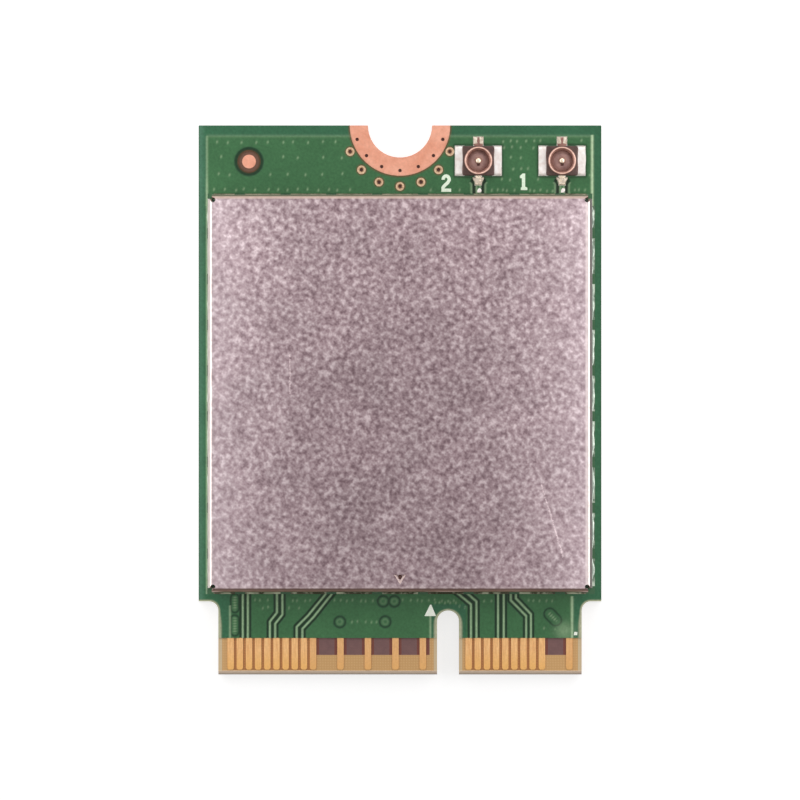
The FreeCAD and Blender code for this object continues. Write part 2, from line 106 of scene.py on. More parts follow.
class Shape:
    """Points in millimetres and the faces between them."""

    def __init__(self):
        self.points, self.faces = [], []

    def add(self, points, faces):
        start = len(self.points)
        self.points += points
        self.faces += [tuple(start + i for i in f) for f in faces]

    def piece(self, name, *rest, **more):
        return piece(name, self.points, self.faces, *rest, **more)

    def lathe(self, x, y, profile, count):
        """A closed profile of (radius, z) points turned about the upright axis through x, y."""
        n = len(profile)
        turns = [2 * math.pi * k / count for k in range(count)]
        points = [(x + r * math.cos(a), y + r * math.sin(a), z) for a in turns for r, z in profile]
        faces = []
        for k in range(count):
            m = (k + 1) % count
            for i in range(n):
                j = (i + 1) % n
                quad = [k * n + i, m * n + i, m * n + j, k * n + j]
                if profile[i][0] == 0:
                    quad = [quad[0], quad[2], quad[3]]
                elif profile[j][0] == 0:
                    quad = quad[:3]
                if profile[i][0] or profile[j][0]:
                    faces.append(quad)
        self.add(points, faces)

    def loft(self, sections):
        """Closed sections of equally many points, joined one to the next and capped."""
        n, last = len(sections[0]), len(sections) - 1
        faces = [tuple(reversed(range(n)))]
        for k in range(last):
            for i in range(n):
                j = (i + 1) % n
                faces.append((k * n + i, k * n + j, (k + 1) * n + j, (k + 1) * n + i))
        faces.append(tuple(last * n + i for i in range(n)))
        self.add([p for s in sections for p in s], faces)

    def block(self, xs, ys, zs, edge):
        """A block with rounded upper edges and corners."""
        rounds = 3
        sections = []
        for inset, z in [(0.0, zs[0]), *arc(0, 90, rounds, -edge, edge, zs[1] - edge, edge)]:
            radius = max(edge - inset, 0.002)
            corners = [(xs[sx > 0] - sx * (inset + radius), ys[sy > 0] - sy * (inset + radius))
                       for sx, sy in ((1, 1), (-1, 1), (-1, -1), (1, -1))]
            sections.append([(x, y, z) for k, corner in enumerate(corners)
                             for x, y in arc(90 * k, 90 * k + 90, rounds, radius, *corner)])
        self.loft(sections)


# Procedural materials


def linear(rgb):
    """An sRGB colour of 0 to 255 as Blender's linear colour."""
    parts = [c / 255 for c in rgb]
    return tuple(c / 12.92 if c <= 0.04045 else ((c + 0.055) / 1.055) ** 2.4 for c in parts) + (1.0,)


def tint(value):
    """Three numbers of 0 to 255 or one of about 0 to 1 as a linear colour; anything else as it is."""
    if isinstance(value, float):
        return (value, value, value, 1)
    return linear(value) if isinstance(value, tuple) and len(value) == 3 else value


def node(tree, kind, output, inputs, **props):
    """An output of a new shader node, with numbers or other outputs put into its inputs."""
    made = tree.nodes.new("ShaderNode" + kind)
    for key, value in props.items():
        setattr(made, key, value)
    for key, value in inputs.items():
        if isinstance(value, Value):
            tree.links.new(value.socket, made.inputs[key])
        else:
            made.inputs[key].default_value = value
    return Value(made.outputs[output])


class Value:
    """A node's output, which takes arithmetic. | is the greater of two and & the lesser."""

    def __init__(self, socket):
        self.socket = socket

    def math(self, operation, *others):
        return node(self.socket.id_data, "Math", 0, dict(enumerate((self, *others))), operation=operation)

    def span(self, low, high, start=0.0, end=1.0):
        """start at low and end at high, held there beyond."""
        return node(self.socket.id_data, "MapRange", 0, {0: self, 1: low, 2: high, 3: start, 4: end})

    def between(self, low, high):
        return (self > low) * (self < high)

    __add__ = partialmethod(math, "ADD")
    __sub__ = partialmethod(math, "SUBTRACT")
    __mul__ = partialmethod(math, "MULTIPLY")
    __gt__ = partialmethod(math, "GREATER_THAN")
    __lt__ = partialmethod(math, "LESS_THAN")
    __or__ = partialmethod(math, "MAXIMUM")
    __and__ = partialmethod(math, "MINIMUM")
    __abs__ = partialmethod(math, "ABSOLUTE")


class Paint:
    """A Principled material whose coordinates are the card's own millimetres."""

    def __init__(self, name, metallic=0.0, roughness=0.5, coat=0.0, specular=0.5):
        self.material = bpy.data.materials.new(name)
        self.material.use_nodes = True
        self.tree = self.material.node_tree
        self.shader = self.tree.nodes["Principled BSDF"]
        for key, value in (("Metallic", metallic), ("Roughness", roughness), ("Coat Weight", coat),
                           ("Coat Roughness", 0.12), ("Specular IOR Level", specular)):
            self.shader.inputs[key].default_value = value
        place = self.node("TexCoord", "Object", {})
        self.mm = self.node("VectorMath", 0, {0: place, 3: 1 / MM}, operation="SCALE")

    def node(self, *rest, **props):
        return node(self.tree, *rest, **props)

    def noise(self, scale, detail=2.0, stretch=None, rough=0.55):
        place = self.mm
        if stretch:
            place = self.node("VectorMath", 0, {0: place, 1: stretch}, operation="MULTIPLY")
        place = self.node("Mapping", 0, {"Vector": place, "Location": (13.7, 5.3, 2.1),
                                         "Rotation": (0.31, 0.22, 0.63)})
        return self.node("TexNoise", "Fac", {"Vector": place, "Scale": scale, "Detail": detail,
                                             "Roughness": rough})

    def wave(self, direction, scale, distortion, detail_scale=1.0):
        return self.node("TexWave", "Fac", {"Vector": self.mm, "Scale": scale, "Distortion": distortion,
                                            "Detail Scale": detail_scale}, bands_direction=direction)

    def ramp(self, value, *stops):
        """Colour or grey by value: stops are (position, colour)."""
        made = self.node("ValToRGB", "Color", {"Fac": value})
        elements = made.socket.node.color_ramp.elements
        for i, (position, colour) in enumerate(stops):
            stop = elements[i] if i < 2 else elements.new(position)
            stop.position = position
            stop.color = tint(colour)
        return made

    def mottle(self, value, dark, light):
        """From one colour to another over a noise's usual values."""
        return self.ramp(value, (0.3, dark), (0.7, light))

    def mix(self, fac, a, b, blend="MIX"):
        return self.node("Mix", 2, {0: fac, 6: tint(a), 7: tint(b)}, data_type="RGBA", blend_type=blend)

    def layers(self, colour, *over):
        """A colour with others over it, each a pair of where it shows and what it is."""
        for fac, other in over:
            colour = self.mix(fac, colour, other)
        return colour

    def times(self, a, b):
        return self.mix(1.0, a, b, "MULTIPLY")

    def attribute(self, name):
        return self.node("Attribute", "Fac", {}, attribute_name=name)

    def axis(self, index):
        return self.node("SeparateXYZ", index, {0: self.mm})

    def normal(self, index):
        return self.node("SeparateXYZ", index, {0: self.node("NewGeometry", "Normal", {})})

    def put(self, key, value):
        self.tree.links.new(value.socket, self.shader.inputs[key])

    def finish(self, colour, bumps, depth, strength=1.0):
        """The material with its colour and the depth of its relief in millimetres."""
        self.put("Base Color", colour)
        self.put("Normal", self.node("Bump", 0, {"Height": bumps, "Distance": depth * MM,
                                                 "Strength": strength}))
        return self.material

    def rough(self, value, low, high):
        self.put("Roughness", value.span(0.0, 1.0, low, high))


def speckled(name, dark, light, scale, metallic, low, high, depth, coat=0.0):
    """A surface whose colour, roughness and relief all vary with one grain."""
    paint = Paint(name, metallic=metallic, coat=coat)
    grain = paint.noise(scale, 3.0)
    paint.rough(grain, low, high)
    return paint.finish(paint.mottle(grain, dark, light), grain, depth)


def mask_material():
    """Green mask: copper and bare laminate show through it, and it thins at their edges. Its pale edge lines
    are partly a painted highlight, and it is painted lighter at its far left and towards the front as painted
    light.
    """
    paint = Paint("green_mask", roughness=0.38, coat=0.25, specular=0.15)
    cloud, grain = paint.noise(0.5, 3.0), paint.noise(7.0)
    green = paint.layers(
        paint.mix(cloud, (47, 96, 65), (56, 111, 78)),
        # painted light: the far left margin painted lighter, as lit more from the left
        (paint.axis(0).span(-10.6, -10.9), paint.mix(cloud, (65, 113, 87), (83, 130, 103))),
        (paint.attribute("copper"), paint.mix(cloud, (52, 99, 61), (68, 118, 75))),
        (paint.attribute("gap"), (10, 38, 14)), (paint.attribute("brown_outline"), (112, 70, 46)),
        # pale edge lines: partly the mask thinning over copper edges and partly a painted highlight
        (paint.attribute("rim"), (196, 224, 180)), (paint.attribute("edge"), (184, 186, 154)))
    # Painted light: the mask is painted darker towards the rear and lighter towards the front.
    green = paint.times(green, paint.axis(1) * -0.008 + 1.03)
    return paint.finish(paint.times(green, paint.mottle(grain, 0.86, 1.1)), grain, 0.004)


def plain_mask_material():
    """The mask of the source's own plates, which the relief pieces all but cover."""
    paint = Paint("green_mask_flat", roughness=0.42, coat=0.2)
    cloud = paint.noise(2.5, 3.0)
    return paint.finish(paint.mix(cloud, (34, 86, 52), (60, 108, 66)), cloud, 0.006)


def laminate_material():
    """Glass cloth in tan resin. An inner copper plane shows brown through it above the contacts."""
    paint = Paint("glass_laminate", roughness=0.55, coat=0.1)
    across, along, cloud = paint.axis(0), paint.axis(1), paint.noise(3.0, 3.0)
    weave = paint.wave("X", 2.2, 1.2) * paint.wave("Y", 2.2, 1.2)
    routed = (abs(across) > 9.72) | (abs(across - KEY_X) < 0.78)
    contacts = across.between(-9.1, -4.8) | across.between(3.9, 7.8)
    tan = paint.layers(
        paint.mix(weave, (208, 162, 104), (219, 178, 122)), (routed * 0.6, (216, 206, 176)),
        # painted light at the front edge: a pale band on the chamfer as a painted highlight, and a dark line
        # at the very edge as painted shade
        (along < -14.79, (246, 222, 196)), (along < -14.95, (180, 164, 148)),
        (contacts * (along > -14.75), paint.mix(weave, (176, 118, 66), (196, 136, 80))))
    middle, right = across.between(-4.6, 1.62), across.between(7.9, 9.1)
    near_middle = ((across + 13.75).math("PINGPONG", 0.75) & 0.5) + right * 9.0
    near_right = (across - 4.75).math("PINGPONG", 0.75) + middle * 9.0
    seam = (near_middle & near_right) < 0.33
    plane = paint.layers(paint.mix(cloud, (104, 72, 72), (128, 92, 88)), (seam * 0.75, (116, 48, 24)),
                         (along > 0.0, paint.mix(cloud, (84, 54, 38), (112, 78, 58))))
    zone = middle | right | (along > -12.9)
    face = paint.mix((along > -13.93) * zone, tan, plane)
    side = paint.ramp(paint.wave("Z", 1.7, 0.6, 3.0), (0.1, (116, 98, 64)), (0.6, (182, 160, 112)))
    return paint.finish(paint.mix(abs(paint.normal(2)) > 0.35, side, face), weave, 0.005)


def gold_material():
    """Hard gold over nickel, satin, with faint wiping marks along the contacts."""
    paint = Paint("gold_contacts", metallic=0.55)
    across, drag = paint.axis(0), paint.noise(1.6, 3.0, stretch=(9.0, 0.8, 1.0))
    worn = across.between(-5.0, 2.0) | (across > 9.0)
    gold = paint.layers(paint.mottle(drag, (222, 164, 106), (246, 198, 138)),
                        (paint.axis(1).span(-13.6, -14.6), (232, 178, 106)), (worn * 0.35, (206, 154, 104)))
    paint.rough(drag, 0.36, 0.5)
    return paint.finish(paint.times(gold, paint.mottle(paint.noise(9.0), 0.98, 1.1)), drag, 0.004)


def copper_material():
    """Pinkish copper with an organic finish and a light matte bloom."""
    paint = Paint("pink_copper", metallic=0.35)
    grain = paint.noise(8.0)
    pink = paint.mottle(paint.noise(1.4, 4.0), (222, 150, 122), (238, 174, 148))
    paint.rough(grain, 0.42, 0.58)
    return paint.finish(paint.times(pink, paint.mottle(grain, 0.93, 1.05)), grain, 0.004)


def scratch(paint, x0, y0, x1, y1, width):
    """1 on a hairline from one place to a lower one on the top, which runs mostly along Y."""
    along = paint.axis(1)
    slope = (x1 - x0) / (y1 - y0)
    line = along * slope + (x0 - slope * y0)
    wander = paint.noise(1.2) * 0.12 - 0.06
    return abs(paint.axis(0) - (line + wander)).span(width, 0.0) * along.between(y1, y0)


def shield_material():
    """Nickel silver with a coarse blasted grain of pinkish grey, burnished where the sheet is bent, with
    painted light: a painted sheen on the top, a painted highlight along its right edge and painted shade on
    some bends.
    """
    paint = Paint("blasted_metal", metallic=0.82)
    across, along = paint.axis(0), paint.axis(1)
    out_x, out_y, upright = paint.normal(0), paint.normal(1), abs(paint.normal(2))
    grain, fine, cloud = paint.noise(3.9, 1.5, rough=0.5), paint.noise(11.0), paint.noise(0.35, 3.0)
    blasted = grain * 0.8 + fine * 0.2
    pink = paint.ramp(blasted, (0.31, (116, 94, 100)), (0.46, (150, 129, 134)), (0.54, (165, 146, 150)),
                      (0.69, (199, 183, 186)))
    # Painted sheen: the top is painted lighter and less grainy towards its left and right ends, lighter
    # towards its rear and a little lighter towards the right, in place of the lamps' reflection.
    sheen_to_ends = abs(across * 0.1).math("POWER", 3.0)
    pink = paint.mix(sheen_to_ends * 0.3, pink, (158, 138, 142))
    pink = paint.times(pink, paint.ramp(cloud, (0.35, 0.9), (0.65, 1.04)))
    marks = scratch(paint, -5.99, 2.5, -6.0, 0.3, 0.06) | scratch(paint, 7.7, -4.6, 8.9, -8.6, 0.075)
    pink = paint.mix(marks * fine.span(0.35, 0.6) * 0.7, pink, (226, 206, 208))
    red = sheen_to_ends * 0.5 + 0.98 + (along * 0.1 | 0.0) * 0.17 + across * 0.003
    rest = red * (sheen_to_ends * 0.06 + 1.0)
    pink = paint.times(pink, paint.node("CombineColor", 0, {0: red, 1: rest, 2: rest}))
    # Painted highlight: a pale line along the top's right edge, beside the bend.
    pink = paint.mix(across.span(10.06, 10.16) * 0.7, pink, (240, 226, 224))
    # Painted light on the bends, by the way they face: the rear ones beige turning olive, the lower part of
    # the right-hand ones grey, and the front ones as dark as the top and then brown, all as painted shade.
    # The left-hand bends and the walls keep the metal's plain colour.
    beige = paint.mix(grain, (172, 150, 140), (196, 176, 164))
    beige = paint.mix(out_y.span(0.6, 0.8), beige, (118, 120, 98))
    rear = out_y.span(0.05, 0.3)
    bend = paint.layers(
        paint.mix(grain, (178, 168, 162), (216, 207, 200)),
        (rear, paint.mix(along > 0.0, (182, 162, 158), beige)),
        (out_x.span(0.42, 0.56) * (across > 9.0), (108, 104, 100)), (out_y.span(-0.02, -0.08), pink),
        (out_y.span(-0.25, -0.42), paint.mix(cloud, (116, 92, 82), (182, 154, 142))),
        (upright.span(0.36, 0.12), paint.mix(cloud, (176, 166, 160), (214, 204, 198))))
    flat = upright.span(0.93, 0.999)
    paint.rough(flat * blasted | rear * 0.7, 0.28, 0.78)
    return paint.finish(paint.mix(flat, bend, pink), flat * blasted, 0.03, 0.5)


def jack_plastic_material():
    """Brown moulding, paler on its floor inside the ring."""
    paint = Paint("brown_moulding", roughness=0.45)
    cloud = paint.noise(2.4, 3.0)
    body = paint.mottle(cloud, (64, 42, 36), (96, 70, 62))
    floor = paint.mottle(cloud, (142, 106, 100), (178, 140, 130))
    return paint.finish(paint.mix(paint.axis(2) > SEAT + 0.212, body, floor), paint.noise(12.0), 0.006)


def ring_material():
    """Plated ring, dull and brownish below its crest as painted shade, and painted bright on the crest as a
    painted highlight.
    """
    paint = Paint("plating_painted_highlight", metallic=0.7)
    cloud = paint.noise(5.0, 3.0)
    dull = paint.mottle(cloud, (128, 92, 84), (170, 128, 116))
    bright = paint.mottle(cloud, (214, 168, 150), (240, 204, 186))
    paint.rough(cloud, 0.28, 0.44)
    return paint.finish(paint.mix(paint.axis(2).span(RIM - 0.015, RIM - 0.002), dull, bright), cloud, 0.003)


def shield_pad_material():
    """Tinned pads round the shield: whitish at the left, greyer elsewhere, and darker at the rear and front;
    these side tones are painted light, a painted highlight at the left and painted shade at the rear and
    front.
    """
    paint = Paint("tinned_pads", metallic=0.3)
    spots, along = paint.noise(1.5, 3.0), paint.axis(1)
    colour = paint.layers(
        paint.ramp(spots, (0.45, (92, 118, 96)), (0.6, (206, 222, 204))),
        (paint.axis(0) < -10.3, paint.mix(spots, (176, 196, 152), (232, 240, 214))),
        (along > 11.0, paint.mix(spots, (96, 104, 76), (176, 172, 142))),
        (along < -10.3, paint.ramp(spots, (0.46, (74, 72, 50)), (0.56, (184, 190, 162)))))
    paint.rough(spots, 0.3, 0.5)
    return paint.finish(colour, spots, 0.01)


PAINTS = {
    "tinned_pads": shield_pad_material(), "laminate": laminate_material(), "mask": mask_material(),
    "mask_flat": plain_mask_material(), "copper": copper_material(), "gold": gold_material(),
    "shield": shield_material(), "jack_metal": ring_material(), "jack_plastic": jack_plastic_material(),
    "tin": speckled("white_tin", (238, 226, 218), (255, 252, 248), 3.5, 0.35, 0.3, 0.5, 0.012),
    "tin_dull": speckled("dull_tin", (192, 176, 156), (240, 228, 210), 4.0, 0.4, 0.4, 0.6, 0.012),
    "plug": speckled("brown_plug", (58, 28, 22), (84, 44, 34), 8.0, 0.0, 0.6, 0.8, 0.004),
    "solder": speckled("bright_solder", (190, 184, 176), (244, 240, 232), 5.5, 0.75, 0.18, 0.4, 0.02),
    "solder_left": speckled("white_solder", (226, 232, 212), (255, 255, 246), 3.0, 0.3, 0.3, 0.5, 0.02),
    "solder_right": speckled("grey_solder", (104, 122, 108), (222, 236, 222), 2.2, 0.4, 0.25, 0.45, 0.02),
    "solder_back": speckled("olive_solder", (88, 92, 66), (196, 190, 164), 2.4, 0.3, 0.35, 0.6, 0.02),
    "eyelets": speckled("tinned_via", (198, 160, 126), (230, 198, 164), 8.0, 0.35, 0.35, 0.5, 0.004),
    "post": speckled("bright_post", (226, 204, 178), (255, 240, 216), 7.0, 0.7, 0.2, 0.35, 0.003),
    "print": speckled("white_print", (222, 241, 216), (236, 251, 230), 9.0, 0.0, 0.5, 0.7, 0.006),
    # Painted light: the print before the shield is a lighter, partly metallic copy of the print, as less of
    # the lamps' light reaches the front.
    "print_front": speckled("front_print", (240, 252, 232), (255, 255, 248), 9.0, 0.3, 0.4, 0.6, 0.004, 0.5),
    "chip": speckled("black_package", (20, 20, 22), (34, 34, 36), 8.0, 0.0, 0.5, 0.7, 0.01),
    "ceramic": speckled("tan_ceramic", (150, 122, 94), (184, 156, 122), 6.0, 0.0, 0.45, 0.65, 0.008),
    "ferrite": speckled("grey_ferrite", (52, 52, 56), (78, 78, 82), 7.0, 0.1, 0.5, 0.7, 0.01),
    "heat_pad": speckled("grey_heat_pad", (142, 146, 152), (168, 172, 178), 3.0, 0.0, 0.7, 0.9, 0.02),
    "lid": speckled("plated_lid", (190, 186, 180), (226, 222, 214), 4.0, 0.9, 0.25, 0.4, 0.004),
}

NODE_PAINTS = {
    "laminate": ["board_laminate"],
    "mask_flat": ["solder_mask_top", "solder_mask_bottom"],
    "copper": ["board_half_eyelet", "ground_vias", "fiducial_dot", "antenna_lands"],
    "gold": ["contact_fingers_top", "contact_fingers_bottom", "test_pads"],
    "shield": ["shield_can"],
    "tinned_pads": ["shield_pads"],
    "solder": ["shield_solder", "antenna_solder", "end_caps", "part_solder"],
    "jack_metal": ["antenna_jack_1_shell", "antenna_jack_2_shell"],
    "post": ["antenna_jack_1_pin", "antenna_jack_2_pin"],
    "jack_plastic": ["antenna_jack_1_housing", "antenna_jack_2_housing"],
    "chip": ["radio_chip", "front_end_module_1", "front_end_module_2", "resistors"],
    "heat_pad": ["thermal_pad"],
    "ceramic": ["crystal_base", "antenna_diplexers", "capacitors"],
    "lid": ["crystal_lid"],
    "ferrite": ["power_inductors"],
}
for paint_name, names in NODE_PAINTS.items():
    for name in names:
        for material_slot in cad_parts[name].material_slots:
            material_slot.material = PAINTS[paint_name]


# Relief of the copper under the mask


def step(value, low, high):
    t = np.clip((value - low) / (high - low), 0, 1)
    return t * t * (3 - 2 * t)


def rect(x, y, x0, x1, y0, y1):
    """Distance outside a rectangle, negative inside."""
    dx, dy = np.maximum(x0 - x, x - x1), np.maximum(y0 - y, y - y1)
    return np.where((dx > 0) & (dy > 0), np.hypot(dx, dy), np.maximum(dx, dy))


def line_distance(x, y, path):
    best = np.full(x.shape, 1e9)
    for (ax, ay), (bx, by) in zip(path, path[1:]):
        ux, uy = bx - ax, by - ay
        t = np.clip(((x - ax) * ux + (y - ay) * uy) / (ux * ux + uy * uy), 0, 1)
        best = np.minimum(best, np.hypot(x - ax - t * ux, y - ay - t * uy))
    return best


def around(x, y, place):
    """Distance from a place."""
    return np.hypot(x - place[0], y - place[1])


def clear_of(places, blocks):
    """The places that no (x, y, radius) block covers."""
    return [(x, y) for x, y in places if all(math.hypot(x - bx, y - by) > r for bx, by, r in blocks)]


def away_from(places, paths, distance):
    """The places further than a distance from every path."""
    return [(x, y) for x, y in places
            if all(line_distance(np.array([x]), np.array([y]), path)[0] > distance for path in paths)]


def via_rows(rows, first_seed):
    """Rows of tented vias from (y, x0, x1, pitch), each via a little off its place."""
    places = []
    for seed, (y, x0, x1, pitch) in enumerate(rows, first_seed):
        chance = random.Random(seed)
        places += [(x0 + pitch * (k + chance.uniform(-0.22, 0.22)), y + chance.uniform(-0.04, 0.04))
                   for k in range(int((x1 - x0) / pitch) + 1)]
    return places


def via_field(seed, x0, x1, y0, y1, pitch_x, pitch_y, jitter):
    """Staggered rows of tented vias, each a little off its place."""
    chance = random.Random(seed)
    places = []
    for j in range(int((y1 - y0) / pitch_y) + 1):
        x = x0 + (j % 2) * pitch_x / 2
        while x < x1:
            places.append((x + chance.uniform(-jitter, jitter),
                           y0 + j * pitch_y + chance.uniform(-jitter, jitter)))
            x += pitch_x
    return places


# Front traces by where each starts, turns and ends, between two levels of the picture
TRACE_HALF, TRACE_CLEAR = 0.065, 0.16
FRONT_TRACES = [from_picture([(start, 585), *turns, (end, 636)]) for start, *turns, end in (
    (239.6, 239.6), (244.8, 244.8), (274.4, (274.4, 609), (267.2, 618), 267.2),
    (280.0, (280.0, 611), (272.6, 620), 272.6), (329, (306, 612), (294.5, 623), 294.5),
    (335, (312, 613), (300.3, 625), 300.3), (452, (472, 601), 472), (462, (477.5, 598), 477.5),
    (499.5, 499.5), (505.3, 505.3), (512.5, (512.5, 597), (528.3, 612.5), 528.3),
    (517.7, (517.7, 595), (533.0, 610.5), 533.0))]
FRONT_RINGS = from_picture([(384.6, 618), (382.6, 597.9), (394, 597.9), (338.4, 618.2)])
FRONT_SLOTS = [(from_picture(path), ring) for path, ring in (
    ([(552.2, 610.4), (558.2, 616.4)], 0.31),
    ([(231.5, 594.5), (231.5, 605.0)], 0.22),
    ([(231.5, 615.5), (231.5, 628.0)], 0.22),
)]
TOP_BLOCKS = [(0, HALF_LENGTH, 3.25), (*FIDUCIAL, 1.0), (2.5, 11.85, 0.6), (6.75, 11.85, 0.5)]
TOP_BLOCKS += [(*place, 0.45) for place in VIA_PLACES]
TOP_BLOCKS += [block for x in JACK_XS for block in ((x, JACK_Y, 1.5), (x, 11.8, 0.6))]
TOP_ROWS = [(14.08, -10.1, -3.2, 0.72), (13.27, -9.6, -3.3, 1.05), (12.33, -10.1, -3.0, 0.98),
            (11.5, -10.1, -2.4, 0.56), (11.5, 1.2, 3.4, 0.5), (11.45, 5.0, 10.3, 0.3),
            (12.05, 5.5, 8.0, 0.52), (12.65, 5.7, 7.5, 0.46), (13.25, 5.6, 7.4, 0.55),
            (13.8, 5.7, 7.5, 0.5), (14.15, 2.9, 10.3, 0.44), (12.3, 9.9, 10.4, 0.4)]
TOP_VIAS = clear_of(via_rows(TOP_ROWS, 0), TOP_BLOCKS)
FRONT_ROWS = [(-10.95, -8.3, 8.6, 0.34), (-12.12, -3.0, -0.6, 0.36), (-11.35, -7.6, -5.4, 0.5),
              (-11.3, 3.2, 3.8, 0.3), (-11.1, 1.9, 3.4, 0.3), (-12.5, 7.9, 9.1, 0.5)]
FRONT_VIAS = clear_of(away_from(via_rows(FRONT_ROWS, 20), FRONT_TRACES, 0.3),
                      [(*place, 0.42) for place in FRONT_RINGS]
                      + [(KEY_X, -12.1, 0.8), (1.65, -11.4, 0.4), (8.32, -11.8, 0.5)])


def soft_line(values, where, distance, strength, width=0.05):
    """Raises values along a soft line, where it runs."""
    np.maximum(values, np.where(where, strength * np.exp(-(distance / width) ** 2), 0), out=values)


def add_vias(x, y, places, height, rim, radius, strength):
    """Small tented vias: a dimpled swelling, with a painted highlight on one flank."""
    for vx, vy in places:
        near = (np.abs(x - vx) < 0.35) & (np.abs(y - vy) < 0.35)
        dx, dy = x[near] - vx, y[near] - vy
        d = np.hypot(dx, dy)
        height[near] += 0.012 * np.exp(-((d - radius) / 0.05) ** 2) - 0.01 * np.exp(-(d / 0.07) ** 2)
        flank = np.exp(-((dx - 0.12 * dy) / 0.045) ** 2 - (dy / 0.075) ** 2)
        rim[near] = np.maximum(rim[near], strength * flank)


def relief(x, y, copper, gap, rim, brown_outline=0.0, vias=(), radius=0.0, strength=0.0):
    """Height of the mask and what shows through it."""
    height = MASK_TOP + 0.003 + 0.024 * copper
    height = height + 0.0012 * np.sin(5.1 * x + 1.3 * y) * np.sin(4.3 * y - 2.1 * x)
    # Painted shade: a thin dark line along the card's long edges.
    gap = np.maximum(gap, 0.45 * step(np.abs(x), HALF_WIDTH - 0.07, HALF_WIDTH - 0.02))
    rim = np.clip(rim, 0, 1)
    add_vias(x, y, vias, height, rim, radius, strength)
    return height, copper, gap, rim, brown_outline + np.zeros(x.shape)


def top_relief(x, y):
    """The strip between the shield and the screw notch."""
    gap, rim = np.zeros(x.shape), np.zeros(x.shape)
    copper = 1 - step(rect(x, y, POUR_LEFT, POUR_RIGHT, 9, POUR_REAR), -0.03, 0.03)
    # Pale lines where the copper ends: partly the mask thinning over the copper's edge and partly a painted
    # highlight, strongest on the right-hand edge, weaker on the left and faint at the rear.
    soft_line(rim, y < 14.5, x - POUR_RIGHT, 1.0, 0.065)
    soft_line(rim, y < 14.45, x - POUR_LEFT, 0.35 + 0.25 * step(-y, -12.6, -11.4), 0.06)
    soft_line(rim, np.abs(x) < 10.6, y - POUR_REAR, 0.13, 0.08)
    ring = around(x, y, FIDUCIAL)
    cleared = step(ring, 0.76, 0.84)
    gap = np.maximum(gap, 0.85 * (1 - cleared))
    copper *= cleared
    # A brown outline round the fiducial's window, the screw pad and the vias' windows.
    brown_outline = 0.8 * (1 - step(ring, 0.58, 0.66))
    pad = np.hypot(x, y - HALF_LENGTH) - SCREW_PAD_RADIUS
    brown_outline = np.maximum(brown_outline, 0.7 * (1 - step(pad, 0.03, 0.12)))
    for place in VIA_PLACES:
        brown_outline = np.maximum(brown_outline, 0.6 * (1 - step(around(x, y, place), 0.27, 0.33)))
    for jx in JACK_XS:
        throat = 0.14 + 0.16 * step(y, 11.75, 12.0)
        d = line_distance(x, y, [(jx, JACK_Y - 1.3), (jx, 11.0)]) - throat
        trench = step(d, -0.02, 0.03) * (1 - step(d, 0.16, 0.22)) * (y < JACK_Y - 0.6)
        copper *= 1 - trench
        soft_line(rim, y < 11.9, d - 0.24, 0.35)
        soft_line(rim, y < JACK_Y - 1, d + 0.04, 0.45)
        lands = rect(x, y, jx - 1.3, jx + 1.3, JACK_Y - 0.86, JACK_Y + 0.86)
        gap = np.maximum.reduce([gap, trench, 0.6 * (1 - step(lands, 0.02, 0.13))])
    return relief(x, y, copper, gap, rim, brown_outline, TOP_VIAS, 0.11, 0.42)


def front_relief(x, y):
    """The strip between the shield and the contacts."""
    gap, rim = np.zeros(x.shape), np.zeros(x.shape)
    pour = np.maximum(rect(x, y, FRONT_LEFT, FRONT_RIGHT, -20, 0), -rect(x, y, FRONT_KEY, 3.6, -20, -11.15))
    copper = 1 - step(pour, -0.03, 0.03)
    # Pale lines at the copper's edges: partly the mask thinning there and partly a painted highlight that
    # differs from side to side.
    soft_line(rim, y < -11.2, x - FRONT_LEFT, 0.45)
    soft_line(rim, y < -10.7, x - FRONT_RIGHT, 0.7, 0.07)
    soft_line(rim, y < -11.6, x - FRONT_KEY, 0.5)
    distances = [line_distance(x, y, path) for path in FRONT_TRACES]
    for d in distances:
        gap = np.maximum(gap, (1 - step(d, TRACE_CLEAR, TRACE_CLEAR + 0.05)) * 0.95)
    for d in distances:
        gap = gap * step(d, TRACE_HALF - 0.02, TRACE_HALF + 0.03)
        rim = np.maximum(rim * (d >= TRACE_CLEAR + 0.05), 0.58 * (1 - step(d, 0.02, 0.07)))
    for place in FRONT_RINGS:
        d = around(x, y, place)
        soft_line(gap, True, d - 0.3, 0.85, 0.06)
        soft_line(rim, True, d - 0.14, 0.12)
    for path, ring in FRONT_SLOTS:
        d = line_distance(x, y, path)
        soft_line(gap, True, d - ring, 0.85)
        along = math.atan2(path[1][1] - path[0][1], path[1][0] - path[0][0])
        beat = np.sin((x * math.cos(along) + y * math.sin(along)) * 22) ** 2
        soft_line(rim, True, d, 0.4 * beat, 0.09)
    soft_line(rim, True, np.hypot((x - 9.0) / 0.5, (y + 12.6) / 0.45), 0.3, 1.0)
    return relief(x, y, copper * (1 - gap), gap, rim, 0.0, FRONT_VIAS, 0.09, 0.3)


def side_relief(x, y):
    """The strips beside the shield."""
    gap, rim = np.zeros(x.shape), np.zeros(x.shape)
    soft_line(rim, True, x + 10.56, 0.55, 0.035)
    return relief(x, y, 1 - step(np.abs(x), 10.52, 10.58), gap, rim)


